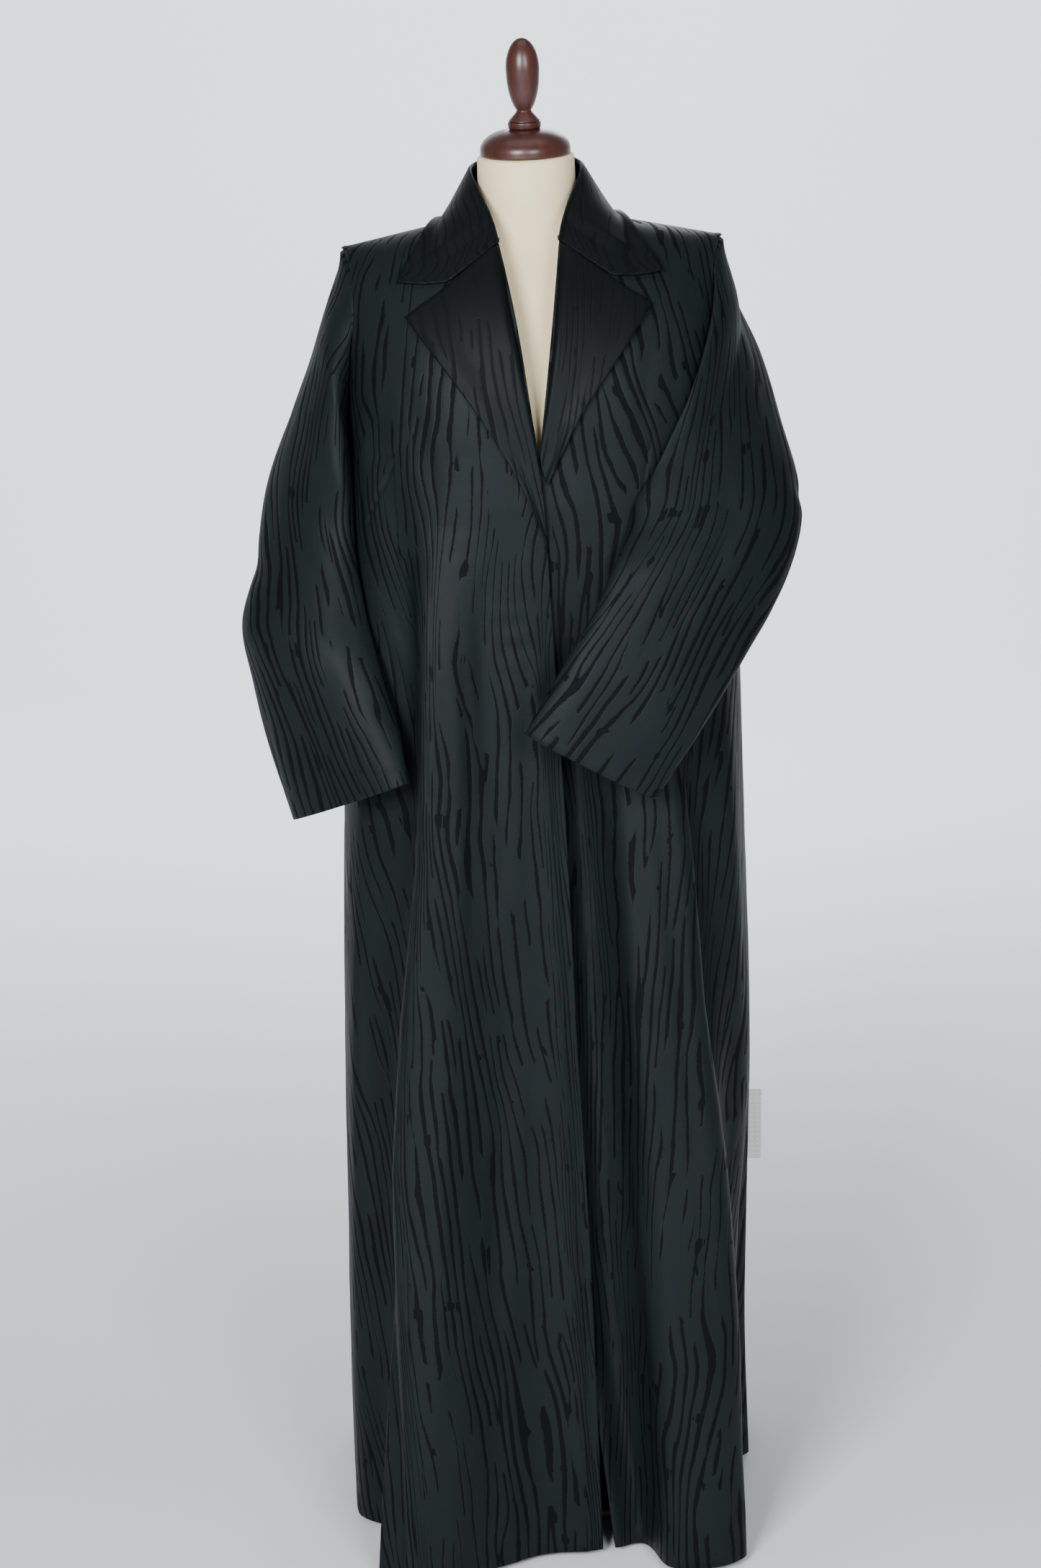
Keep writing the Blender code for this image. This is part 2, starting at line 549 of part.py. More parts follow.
def collar_foot(roll_x, roll_y):
    """Where the collar's stand meets the neckline, just inside the panels."""
    turn = np.arctan2(roll_y, roll_x)
    candidates = []
    for facing in (-1, 1):
        x = np.linspace(-NECK_POINT_X, NECK_POINT_X, SAMPLES)
        x = x[np.abs(x) >= (GORGE_X if facing < 0 else 0.0)]
        candidates.append(np.stack([x, facing * neckline_y(facing, x)], -1))
    line = np.concatenate(candidates)
    feet = []
    for angle in turn:
        gap = np.angle(np.exp(1j * (np.arctan2(line[:, 1], line[:, 0]) - angle)))
        point = line[np.argmin(np.abs(gap))]
        feet.append(point * (1 - FOOT_INSET / np.linalg.norm(point)))
    feet = np.array(feet)
    return np.column_stack([feet, surface_z(feet[:, 0], feet[:, 1]) - COLLAR_GAP])


def collar_grid():
    """Middle surface of the collar: up its stand, over the roll and down its fall."""
    rows = collar_rows()
    roll = np.column_stack([rows["roll_x"], rows["roll_y"], rows["roll_z"]])
    edge = np.column_stack([rows["edge_x"], rows["edge_y"], surface_z(rows["edge_x"], rows["edge_y"])])
    foot = collar_foot(rows["roll_x"], rows["roll_y"])
    inward = -roll * np.array([1.0, 1.0, 0.0])
    inward /= np.linalg.norm(inward, axis=1)[:, None]
    up = np.array([0.0, 0.0, 1.0])
    stand_top = roll + inward * COLLAR_GAP - up * COLLAR_GAP
    stand_middle = (stand_top + foot) / 2
    fall_top = roll - inward * COLLAR_GAP - up * COLLAR_GAP
    lines = [foot, stand_middle, stand_top, roll, fall_top]
    middle = np.column_stack([rows["middle_x"], rows["middle_y"],
                              surface_z(rows["middle_x"], rows["middle_y"])])
    straight = (fall_top + edge) / 2
    middle[:, 2] = np.maximum(middle[:, 2], np.where(rows["middle_y"] > NOTCH_Y, straight[:, 2], 0.0))
    for share in np.linspace(0.0, 1.0, FALL_POINTS)[1:]:
        first = fall_top + (middle - fall_top) * min(2 * share, 1.0)
        point = first + (edge - middle) * max(2 * share - 1.0, 0.0)
        lines.append(lifted_clear(point, COLLAR_REST))
    return np.stack(lines, 1)


def body_ring(z):
    """Directions and radii of the whole garment surface at a height."""
    angles = np.linspace(-90.0, 90.0, SAMPLES)
    rings = []
    for facing in (-1, 1):
        level = min(z, ARMPIT_Z)
        points = cloth_point(facing, angles, level, 0.0)
        height = np.clip((z - level) / (shoulder_height(points[:, 0]) - level), 0.0, 1.0)
        points[:, 1] *= (1 - height ** SHOULDER_ROUND) ** (1 / SHOULDER_ROUND)
        rings.append(points[::-1] if facing < 0 else points)
    ring = np.concatenate(rings)
    turn = np.arctan2(ring[:, 1], ring[:, 0])
    order = np.argsort(turn)
    return turn[order], np.hypot(ring[:, 0], ring[:, 1])[order]


def outside_body(points, clearance):
    """Sleeve points moved straight out from the form's axis until they clear the cloth.

    clearance holds a value for each point, so that a ring's outer side stays out.
    """
    moved = points.copy()
    for index in np.ndindex(points.shape[:-1]):
        x, y, z = points[index]
        if z > TIP_Z - SLEEVE_CLEARANCE:
            continue
        turn, radius = body_ring(z)
        wanted = np.interp(np.arctan2(y, x), turn, radius, period=2 * np.pi) + clearance[index]
        scale = max(1.0, wanted / np.hypot(x, y))
        moved[index] = (x * scale, y * scale, z)
    return moved


def armhole_loop(side, turns):
    """The armhole's own edge, from the armpit over the front to the top and down the back."""
    points = []
    for angle in turns:
        facing = -1 if angle < 90.0 else 1
        rise = float(armhole_rises(min(angle, 180.0 - angle)))
        edge = cloth_point(facing, side * armhole_angle(facing, rise / 90.0), ARMPIT_Z, rise)
        points.append(edge)
    loop = np.array(points)
    middle = loop.mean(axis=0)
    inward = middle - loop
    inward /= np.linalg.norm(inward, axis=1)[:, None]
    return loop + inward * ARMHOLE_INSET + np.array([side * HEAD_OUT, 0.0, 0.0])


def sleeve_grid(table, side):
    """Rings of a sleeve from the armhole to the cuff."""
    turns = np.concatenate([ARMHOLE_TURNS[:-1], 180.0 - ARMHOLE_TURNS[:0:-1]])
    turn = np.radians(turns)
    places = np.linspace(0.0, 1.0, len(table))
    shares = np.linspace(0.0, 1.0, SLEEVE_ROWS + 1)
    columns = {name: smooth_value(places, [getattr(row, name) for row in table], shares)
               for name in SleeveRow._fields}
    centre = np.stack([columns["cx"], columns["cy"], columns["cz"]], -1)
    outer = np.stack([columns["ox"], columns["oy"], columns["oz"]], -1)
    front = np.stack([columns["fx"], columns["fy"], columns["fz"]], -1)
    cosine = np.cos(turn)[None, :, None]
    sine = np.sin(turn)[None, :, None]
    rings = centre[:, None] + front[:, None] * cosine + outer[:, None] * sine
    leave = 1.0 - ease(shares / SLEEVE_BLEND)
    head = armhole_loop(side, turns) - rings[0]
    rings = rings + head[None] * leave[:, None, None]
    spread = SLEEVE_FLATTEST * (0.5 + 0.5 * np.sin(turn))
    clearance = ease(shares / SLEEVE_SPREAD)[:, None] * (SLEEVE_CLEARANCE + spread)
    rings[1:] = outside_body(rings[1:], ARMHOLE_INSET + clearance[1:])
    return rings


def material(name, colour, roughness, metallic=0.0):
    """A Principled BSDF material."""
    made = bpy.data.materials.new(name)
    made.use_nodes = True
    shader = made.node_tree.nodes["Principled BSDF"]
    shader.inputs["Base Color"].default_value = (*colour, 1.0)
    shader.inputs["Roughness"].default_value = roughness
    shader.inputs["Metallic"].default_value = metallic
    made.diffuse_color = (*colour, 1.0)
    return made


def place(mesh, name, look, collection, smooth=True):
    """An object for a mesh, with its material, in the collection."""
    mesh.materials.clear()
    mesh.materials.append(look)
    if smooth:
        mesh.shade_smooth()
        mesh.set_sharp_from_angle(angle=np.radians(SHARP))
    piece = bpy.data.objects.new(name, mesh)
    collection.objects.link(piece)
    return piece


def grid_mesh(name, grid, closed=False, flip=False, caps=False):
    """A mesh over a grid of points, closed around or open, with or without end caps."""
    shape = bmesh.new()
    rows, columns = grid.shape[:2]
    points = [[shape.verts.new(Vector(point)) for point in row] for row in grid]
    last = columns if closed else columns - 1
    for r in range(rows - 1):
        for c in range(last):
            d = (c + 1) % columns
            corners = [points[r][c], points[r][d], points[r + 1][d], points[r + 1][c]]
            shape.faces.new(corners[::-1] if flip else corners)
    if caps:
        shape.faces.new(points[0][::-1])
        shape.faces.new(points[-1])
    mesh = bpy.data.meshes.new(name)
    shape.to_mesh(mesh)
    shape.free()
    return mesh


def cloth_piece(name, grid, look, collection, closed=False, flip=False, offset=-1.0):
    """A cloth wall: an open surface with Solidify."""
    piece = place(grid_mesh(name, grid, closed, flip), name, look, collection)
    wall = piece.modifiers.new("wall", "SOLIDIFY")
    wall.thickness = WALL
    wall.offset = offset
    return piece


def turned_piece(name, profile, look, collection, seat=0.0):
    """A turned solid from its profile, with its seat at a height."""
    points = []
    for bend in profile:
        for angle in np.radians(np.linspace(bend.first, bend.last, bend.points)):
            radius = bend.centre_r + bend.size_r * np.cos(angle)
            points.append((radius, 0.0, seat + bend.centre_z + bend.size_z * np.sin(angle)))
    mesh = bpy.data.meshes.new(name)
    mesh.from_pydata(points, [(k, k + 1) for k in range(len(points) - 1)], [])
    piece = place(mesh, name, look, collection, smooth=False)
    turn = piece.modifiers.new("turn", "SCREW")
    turn.steps = TURNED_STEPS
    turn.render_steps = TURNED_STEPS
    turn.use_merge_vertices = True
    turn.merge_threshold = MERGE
    turn.use_smooth_shade = True
    return piece


def build_cloak(collection):
    """The cloak's panels, lapels, collar, sleeves and side label."""
    satin = material("charcoal_satin", (0.030, 0.037, 0.041), 0.45)
    tape = material("pale_tape", (0.60, 0.63, 0.60), 0.80)
    cloth_piece("front_right", upper_front_grid(), satin, collection)
    cloth_piece("front_left", lower_front_grid(), satin, collection)
    cloth_piece("back", back_grid(), satin, collection, flip=True)
    cloth_piece("lapel_right", lapel_grid(UPPER_LAPEL_EDGE, "upper", -1), satin, collection, flip=True)
    cloth_piece("lapel_left", lapel_grid(UNDER_LAPEL_EDGE, "lower", 1), satin, collection)
    cloth_piece("collar", collar_grid(), satin, collection, offset=0.0)
    cloth_piece("sleeve_right", sleeve_grid(SLEEVE_ROWS_RIGHT, -1), satin, collection, closed=True)
    cloth_piece("sleeve_left", sleeve_grid(SLEEVE_ROWS_LEFT, 1), satin, collection,
                closed=True, flip=True)
    build_label(tape, collection)


def build_label(look, collection):
    """The bare tape sewn into the wearer's left side seam, its width towards +X."""
    z = np.linspace(LABEL_TOP_Z - LABEL_HEIGHT, LABEL_TOP_Z, LABEL_SEGMENTS)
    seam_x = section("right", z) + SEAM + TOUCH
    inner = np.stack([seam_x, np.full_like(z, -WALL), z], -1)
    outer = inner + np.array([LABEL_WIDTH, -LABEL_WIDTH * 0.12, 0.0])
    piece = place(grid_mesh("side_label", np.stack([inner, outer], 1)), "side_label", look, collection)
    wall = piece.modifiers.new("wall", "SOLIDIFY")
    wall.thickness = LABEL_THICKNESS
    wall.offset = 0.0


def form_grid():
    """Rings of the limbless body and neck; the top rings lean forward."""
    turn = np.linspace(0.0, 2 * np.pi, FORM_SIDES, endpoint=False)
    rings = []
    for row in FORM_RINGS:
        depth = np.where(np.sin(turn) < 0, row.front, row.back)
        x = row.half * np.sign(np.cos(turn)) * np.abs(np.cos(turn)) ** (2 / row.square)
        y = depth * np.sign(np.sin(turn)) * np.abs(np.sin(turn)) ** (2 / row.square)
        lean = ease((row.z - FORM_RINGS[-3].z) / (NECK_TOP_Z - FORM_RINGS[-3].z))
        z = row.z + y * np.tan(np.radians(NECK_TILT)) * lean
        rings.append(np.stack([x, y, z], -1))
    return np.stack(rings)


def build_form(collection):
    """The dress form's body, with a turned cap, ring and finial on its neck."""
    jersey = material("cream_jersey", (0.78, 0.72, 0.58), 0.85)
    wood = material("red_brown_wood", (0.10, 0.022, 0.014), 0.35)
    place(grid_mesh("form_torso", form_grid(), closed=True, caps=True), "form_torso", jersey, collection)
    neck_top = bpy.data.objects.new("neck_top", None)
    neck_top.location = (0.0, 0.0, NECK_TOP_Z)
    neck_top.rotation_euler = (np.radians(NECK_TILT), 0.0, 0.0)
    collection.objects.link(neck_top)
    cap_seat = TOUCH
    ring_seat = cap_seat + CAP_HEIGHT + TOUCH
    finial_seat = ring_seat + RING_HEIGHT + TOUCH
    turned_piece("form_neck_cap", CAP_PROFILE, wood, collection, cap_seat).parent = neck_top
    turned_piece("form_ring", RING_PROFILE, wood, collection, ring_seat).parent = neck_top
    turned_piece("form_finial", FINIAL_PROFILE, wood, collection, finial_seat).parent = neck_top
    build_stand(wood, collection)


def build_stand(wood, collection):
    """The pole under the form and its turned base."""
    turned_piece("form_base", BASE_PROFILE, wood, collection)
    pole_height = FORM_BOTTOM_Z - BASE_HEIGHT - 2 * TOUCH
    pole = [corner(0.0, pole_height), corner(POLE_RADIUS, pole_height), corner(POLE_RADIUS, 0.0),
            corner(0.0, 0.0)]
    turned_piece("form_pole", pole, wood, collection, BASE_HEIGHT + TOUCH)


def main():
    """Clear the scene and build every piece."""
    for old in list(bpy.data.objects):
        bpy.data.objects.remove(old)
    collection = bpy.data.collections.new(COLLECTION)
    bpy.context.scene.collection.children.link(collection)
    build_cloak(collection)
    build_form(collection)


main()
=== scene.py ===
"""Long open abaya cloak with a notched collar, worn by a limbless dress form on a turned stand.

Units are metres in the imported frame: +Z up, +X the wearer's left, -Y the front. The cloth pieces
lie on the garment surface that the CAD solids have, at a finer step, with creases, pleats, seams
and the weave added; the form and its stand have the same profiles. The tables are those of the CAD,
but for the front fold at 27 degrees, which is shallower here and drifts less far outwards.
"""
from __future__ import annotations

import logging
import math
from dataclasses import dataclass
from enum import Enum
from functools import partial
from typing import Callable, NamedTuple, Sequence

import bpy
import numpy as np
from mathutils import Matrix, Vector

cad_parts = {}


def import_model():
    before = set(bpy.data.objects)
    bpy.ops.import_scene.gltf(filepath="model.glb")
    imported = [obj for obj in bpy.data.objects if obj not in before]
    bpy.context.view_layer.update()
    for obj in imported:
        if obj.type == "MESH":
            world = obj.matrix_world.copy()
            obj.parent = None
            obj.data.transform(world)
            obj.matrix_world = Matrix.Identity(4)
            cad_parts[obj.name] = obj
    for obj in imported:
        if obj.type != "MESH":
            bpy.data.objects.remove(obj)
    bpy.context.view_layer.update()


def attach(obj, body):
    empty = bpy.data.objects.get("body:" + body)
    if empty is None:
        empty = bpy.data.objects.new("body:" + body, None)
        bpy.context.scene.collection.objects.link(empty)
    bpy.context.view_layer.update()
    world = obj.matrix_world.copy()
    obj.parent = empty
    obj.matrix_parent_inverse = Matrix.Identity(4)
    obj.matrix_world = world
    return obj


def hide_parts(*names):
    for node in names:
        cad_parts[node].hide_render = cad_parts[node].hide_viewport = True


LOG = logging.getLogger("abaya_cloak")
MM = 0.001
HEM_WIDTH = 0.030
FULL_FRAME_MM = 36.0
WAVE_UNITS = 20.0
Grid = np.ndarray
Material = bpy.types.Material
NodeTree = bpy.types.NodeTree
Object = bpy.types.Object
Socket = bpy.types.NodeSocket


class Section(NamedTuple):
    """Half widths and depths of the cloth at a height, and how square it is."""
    z: float
    left: float
    right: float
    front: float
    back: float
    square: float


class Fold(NamedTuple):
    """A fold: its angles at the top and the hem, half widths, top, depth at the hem."""
    facing: float
    angle_top: float
    angle_hem: float
    width_minus: float
    width_plus: float
    top_z: float
    depth: float
    growth: float


class EdgeRow(NamedTuple):
    """x of the upper front's edge and of the lower one at a height."""
    z: float
    upper: float
    lower: float


class EdgePoint(NamedTuple):
    """A point of a lapel's outer edge."""
    x: float
    z: float


class CollarRow(NamedTuple):
    """One half station of the collar, from the gorge to the centre of the back."""
    roll_x: float
    roll_y: float
    roll_z: float
    middle_x: float
    middle_y: float
    edge_x: float
    edge_y: float


class SleeveRow(NamedTuple):
    """Centre of a sleeve ring, half vector to its outer side and to its front side."""
    cx: float
    cy: float
    cz: float
    ox: float
    oy: float
    oz: float
    fx: float
    fy: float
    fz: float


class FormRing(NamedTuple):
    """Half width and depths of the dress form's body at a height."""
    z: float
    half: float
    front: float
    back: float
    square: float


class Arc(NamedTuple):
    """An elliptic arc of a turned profile, in degrees; a corner has no size."""
    centre_r: float
    centre_z: float
    size_r: float
    size_z: float
    first: float
    last: float
    points: int


def rows(kind: type, *values: tuple) -> tuple:
    """A table: each row of values as the tuple kind that names its columns."""
    return tuple(kind(*row) for row in values)


SECTIONS = rows(
    Section,
    (0.0, 0.25, 0.206, 0.287, 0.215, 3.1),
    (0.19, 0.248, 0.205, 0.262, 0.205, 3.0),
    (0.3, 0.245, 0.209, 0.246, 0.198, 2.9),
    (0.46, 0.241, 0.215, 0.222, 0.188, 2.75),
    (0.6, 0.236, 0.216, 0.203, 0.176, 2.65),
    (0.8, 0.226, 0.215, 0.182, 0.162, 2.6),
    (0.96, 0.215, 0.214, 0.17, 0.148, 2.6),
    (1.08, 0.207, 0.21, 0.163, 0.137, 2.6),
    (1.195, 0.2, 0.206, 0.16, 0.128, 2.6))

FOLDS = rows(
    Fold,
    (-1, 2.0, 3.0, 25.0, 25.0, 1.14, -0.058, 0.9),
    (-1, -18.0, -22.0, 18.0, 18.0, 0.9, 0.016, 1.0),
    (-1, 20.0, 28.0, 18.0, 18.0, 0.85, 0.014, 1.0),
    (-1, -28.0, -41.0, 9.0, 24.0, 1.12, 0.038, 0.7),
    (-1, -48.0, -62.0, 14.0, 17.0, 1.0, -0.022, 0.8),
    (-1, 27.0, 47.0, 24.0, 10.0, 1.02, 0.025, 0.8),
    (-1, 60.0, 72.0, 12.0, 14.0, 0.8, -0.012, 0.9),
    (1, -60.0, -64.0, 14.0, 15.0, 0.95, 0.018, 1.0),
    (1, -36.0, -42.0, 15.0, 14.0, 1.02, -0.02, 0.9),
    (1, -17.0, -20.0, 16.0, 16.0, 0.92, 0.02, 1.0),
    (1, 3.0, 5.0, 15.0, 17.0, 1.08, -0.024, 0.9),
    (1, 24.0, 29.0, 17.0, 14.0, 0.88, 0.018, 1.0),
    (1, 43.0, 50.0, 13.0, 14.0, 0.98, -0.018, 0.9),
    (1, 64.0, 70.0, 13.0, 14.0, 0.84, 0.014, 1.0))

FRONT_EDGES = rows(
    EdgeRow,
    (0.0, 0.031, 0.046),
    (0.15, 0.03, 0.03),
    (0.334, 0.028, 0.004),
    (0.594, 0.021, -0.022),
    (0.764, 0.018, -0.034),
    (0.933, 0.013, -0.036),
    (1.06, 0.009, -0.026),
    (1.12, 0.007, -0.012),
    (1.18, 0.003, 0.001),
    (1.243, -0.006, 0.012),
    (1.306, -0.0155, 0.0215),
    (1.361, -0.025, 0.028),
    (1.405, -0.032, 0.032))

UPPER_LAPEL_EDGE = rows(
    EdgePoint,
    (0.008, 1.104), (-0.0144, 1.16), (-0.0353, 1.201), (-0.0733, 1.261), (-0.108, 1.309), (-0.1273, 1.3355))
UNDER_LAPEL_EDGE = rows(
    EdgePoint, (0.01, 1.164), (0.027, 1.198), (0.0462, 1.233), (0.0888, 1.293), (0.1221, 1.341))

COLLAR = rows(
    CollarRow,
    (0.0315, -0.0945, 1.411, 0.083, -0.114, 0.134, -0.0965),
    (0.0365, -0.0775, 1.43, 0.085, -0.101, 0.129, -0.09),
    (0.045, -0.052, 1.451, 0.083, -0.068, 0.114, -0.072),
    (0.059, -0.005, 1.479, 0.078, -0.01, 0.097, -0.014),
    (0.056, 0.033, 1.489, 0.076, 0.037, 0.093, 0.04),
    (0.034, 0.06, 1.496, 0.05, 0.072, 0.064, 0.08),
    (0.0, 0.069, 1.499, 0.0, 0.086, 0.0, 0.096))

SLEEVE_ROWS_RIGHT = rows(
    SleeveRow,
    (-0.195, -0.008, 1.3, -0.006, 0.0, 0.104, 0.004, -0.074, 0.0),
    (-0.208, -0.008, 1.266, -0.011, 0.0, 0.085, 0.006, -0.077, 0.0),
    (-0.218, -0.01, 1.23, -0.018, 0.0, 0.067, 0.012, -0.08, 0.0),
    (-0.231, -0.014, 1.186, -0.028, 0.0, 0.05, 0.022, -0.08, -0.002),
    (-0.244, -0.016, 1.124, -0.04, 0.004, 0.033, 0.034, -0.078, -0.006),
    (-0.245, -0.046, 1.05, -0.042, -0.02, 0.02, 0.05, -0.072, -0.01),
    (-0.247, -0.08, 0.995, -0.04, -0.026, 0.015, 0.067, -0.062, -0.012),
    (-0.238, -0.096, 0.945, -0.032, -0.025, 0.006, 0.07, -0.059, -0.004),
    (-0.226, -0.114, 0.895, -0.024, -0.024, 0.002, 0.07, -0.056, 0.012),
    (-0.211, -0.14, 0.8345, -0.014, -0.019, -0.002, 0.064, -0.0525, 0.0285))

SLEEVE_ROWS_LEFT = rows(
    SleeveRow,
    (0.201, -0.008, 1.3, 0.006, 0.0, 0.104, -0.004, -0.074, 0.0),
    (0.1985, -0.024, 1.262, 0.01, -0.003, 0.083, -0.036, -0.088, 0.0),
    (0.192, -0.046, 1.225, 0.03, -0.01, 0.054, -0.052, -0.086, -0.002),
    (0.188, -0.072, 1.185, 0.036, -0.01, 0.042, -0.066, -0.076, -0.004),
    (0.186, -0.1, 1.145, 0.038, -0.02, 0.028, -0.082, -0.06, 0.004),
    (0.184, -0.126, 1.108, 0.03, -0.026, 0.014, -0.088, -0.048, 0.01),
    (0.1645, -0.16, 1.064, 0.014, -0.026, 0.004, -0.089, -0.04, 0.018),
    (0.129, -0.186, 1.005, 0.006, -0.025, 0.002, -0.081, -0.026, 0.025),
    (0.0895, -0.206, 0.946, 0.002, -0.023, 0.0, -0.073, -0.014, 0.034),
    (0.044, -0.218, 0.88, 0.0, -0.019, 0.0, -0.0665, -0.005, 0.038))

FORM_RINGS = rows(
    FormRing,
    (0.7, 0.15, 0.092, 0.104, 2.3),
    (0.708, 0.16, 0.1, 0.112, 2.3),
    (0.76, 0.168, 0.106, 0.12, 2.3),
    (0.83, 0.166, 0.108, 0.118, 2.3),
    (0.92, 0.142, 0.102, 0.1, 2.2),
    (1.0, 0.122, 0.098, 0.086, 2.2),
    (1.08, 0.132, 0.108, 0.092, 2.2),
    (1.15, 0.146, 0.124, 0.1, 2.2),
    (1.205, 0.154, 0.132, 0.104, 2.2),
    (1.26, 0.158, 0.122, 0.104, 2.3),
    (1.32, 0.166, 0.102, 0.098, 2.4),
    (1.36, 0.17, 0.086, 0.086, 2.4),
    (1.385, 0.166, 0.07, 0.072, 2.3),
    (1.402, 0.156, 0.06, 0.062, 2.0),
    (1.411, 0.15, 0.056, 0.058, 1.7),
    (1.4185, 0.1368, 0.053, 0.055, 1.5),
    (1.4272, 0.094, 0.051, 0.051, 1.35),
    (1.431, 0.057, 0.051, 0.051, 2.0),
    (1.455, 0.0525, 0.0515, 0.0525, 2.0),
    (1.4965, 0.0515, 0.052, 0.052, 2.0))


class Facing(Enum):
    """Which half of the garment a surface belongs to."""

    FRONT = -1
    BACK = 1


class Hand(Enum):
    """The wearer's side, as the sign of its x."""

    RIGHT = -1
    LEFT = 1


class Edge(Enum):
    """Column of the front edge table."""

    UPPER = "upper"
    LOWER = "lower"


def cubic(xs: Grid, ys: Grid, slopes: Grid, x: Grid) -> Grid:
    """Cubic curve through values at rising places, with a stated slope at each of them.

    Args:
        xs: Rising places.
        ys: Values at those places.
        slopes: Slopes at those places.
        x: Places that are asked for.

    Returns:
        The values there.
    """
    i = np.clip(np.searchsorted(xs, x, side="right") - 1, 0, len(xs) - 2)
    span = xs[i + 1] - xs[i]
    t = (x - xs[i]) / span
    start = ys[i] * (1 + 2 * t) * (1 - t) ** 2 + slopes[i] * span * t * (1 - t) ** 2
    end = ys[i + 1] * t ** 2 * (3 - 2 * t) + slopes[i + 1] * span * t ** 2 * (t - 1)
    return start + end


def smooth_value(xs: Sequence[float], ys: Sequence[float], x: Grid | float) -> Grid:
    """Cubic curve through table values, with slopes taken from their neighbours.

    Args:
        xs: Rising places of the table.
        ys: Values at those places.
        x: Places that are asked for.

    Returns:
        The values there.
    """
    xs, ys = np.asarray(xs, float), np.asarray(ys, float)
    return cubic(xs, ys, np.gradient(ys, xs), np.clip(np.asarray(x, float), xs[0], xs[-1]))


def table_value(rows: Sequence[NamedTuple], column: str, z: Grid | float) -> Grid:
    """A column of a table with z, at a height."""
    return smooth_value([row.z for row in rows], [getattr(row, column) for row in rows], z)


def ease(t: Grid | float) -> Grid:
    """Smooth step from 0 to 1."""
    t = np.clip(t, 0.0, 1.0)
    return t * t * (3 - 2 * t)


def swell(offset: Grid) -> Grid:
    """A round rise: 1 at offset 0, running out at -1 and 1."""
    return 0.5 + 0.5 * np.cos(np.pi * np.clip(offset, -1.0, 1.0))


def mark(away: Grid, width: float) -> Grid:
    """A narrow mark: 1 on its line, fading over the width on both sides."""
    return np.exp(-(away / width) ** 2)


def round_off(share: Grid, power: Grid | float) -> Grid:
    """What is left of a superellipse's radius at a share of its other one."""
    return (1.0 - share ** power) ** (1.0 / power)


def unit(vectors: Grid) -> Grid:
    """The vectors at length 1."""
    return vectors / np.maximum(np.linalg.norm(vectors, axis=-1, keepdims=True), 1e-12)


def grid_normals(grid: Grid) -> Grid:
    """Unit normals of a grid of points, along the cross product of its column and row steps."""
    return unit(np.cross(np.gradient(grid, axis=1), np.gradient(grid, axis=0)))


def resampled(points: Grid, count: int) -> Grid:
    """The same curve with its points at equal distances."""
    steps = np.linalg.norm(np.diff(points, axis=0), axis=1)
    length = np.concatenate([[0.0], np.cumsum(steps)])
    wanted = np.linspace(0.0, length[-1], count)
    return np.stack([np.interp(wanted, length, points[:, k]) for k in range(3)], -1)


def run_length(grid: Grid, axis: int) -> Grid:
    """Distance along the cloth from the first row (axis 0) or column (axis 1) of a grid."""
    steps = np.linalg.norm(np.diff(grid, axis=axis), axis=-1)
    start = np.zeros_like(np.take(steps, [0], axis=axis))
    return np.concatenate([start, np.cumsum(steps, axis=axis)], axis=axis)


def soft_noise(u: Grid, v: Grid, seed: int) -> Grid:
    """Smooth noise from -1 to 1 over two coordinates, one cell to a unit.

    Args:
        u: First coordinate in cells.
        v: Second coordinate in cells.
        seed: Number that picks the pattern.

    Returns:
        The noise at each place.
    """
    i, j = np.floor(u).astype(np.int64), np.floor(v).astype(np.int64)
    fu, fv = ease(u - i), ease(v - j)

    def corner(a: Grid, b: Grid) -> Grid:
        """A fixed pseudo-random value from -1 to 1 at each lattice corner."""
        mixed = (a * 374761393 + b * 668265263 + seed * 982451653) & 0xFFFFFFFF
        mixed = ((mixed ^ (mixed >> 13)) * 1274126177) & 0xFFFFFFFF
        return ((mixed ^ (mixed >> 16)) & 0xFFFF) / 32767.5 - 1.0

    low = corner(i, j) * (1 - fu) + corner(i + 1, j) * fu
    high = corner(i, j + 1) * (1 - fu) + corner(i + 1, j + 1) * fu
    return low * (1 - fv) + high * fv


class Crease(NamedTuple):
    """A soft trough (depth below 0) or ridge on a bent line through three points of a plane."""

    start: tuple[float, float]
    middle: tuple[float, float]
    end: tuple[float, float]
    half_width: float
    depth: float

    def height(self, a: Grid, b: Grid) -> Grid:
        """How far the cloth moves out at places a, b of the plane.

        Args:
            a: First coordinate of each point.
            b: Second coordinate of each point.

        Returns:
            The move in metres, fading to nothing at both ends and both sides.
        """
        t = np.linspace(0.0, 1.0, 13)
        line = [(1 - t) ** 2 * p + 2 * t * (1 - t) * q + t ** 2 * r
                for p, q, r in zip(self.start, self.middle, self.end)]
        best = np.full(np.shape(a), 1e9)
        place = np.zeros(np.shape(a))
        for k in range(len(t) - 1):
            dx, dy = line[0][k + 1] - line[0][k], line[1][k + 1] - line[1][k]
            s = ((a - line[0][k]) * dx + (b - line[1][k]) * dy) / max(dx * dx + dy * dy, 1e-12)
            s = np.clip(s, 0.0, 1.0)
            away = np.hypot(a - line[0][k] - s * dx, b - line[1][k] - s * dy)
            place = np.where(away < best, (k + s) / (len(t) - 1), place)
            best = np.minimum(best, away)
        return self.depth * swell(best / self.half_width) * np.sin(np.pi * np.clip(place, 0.0, 1.0)) ** 0.7


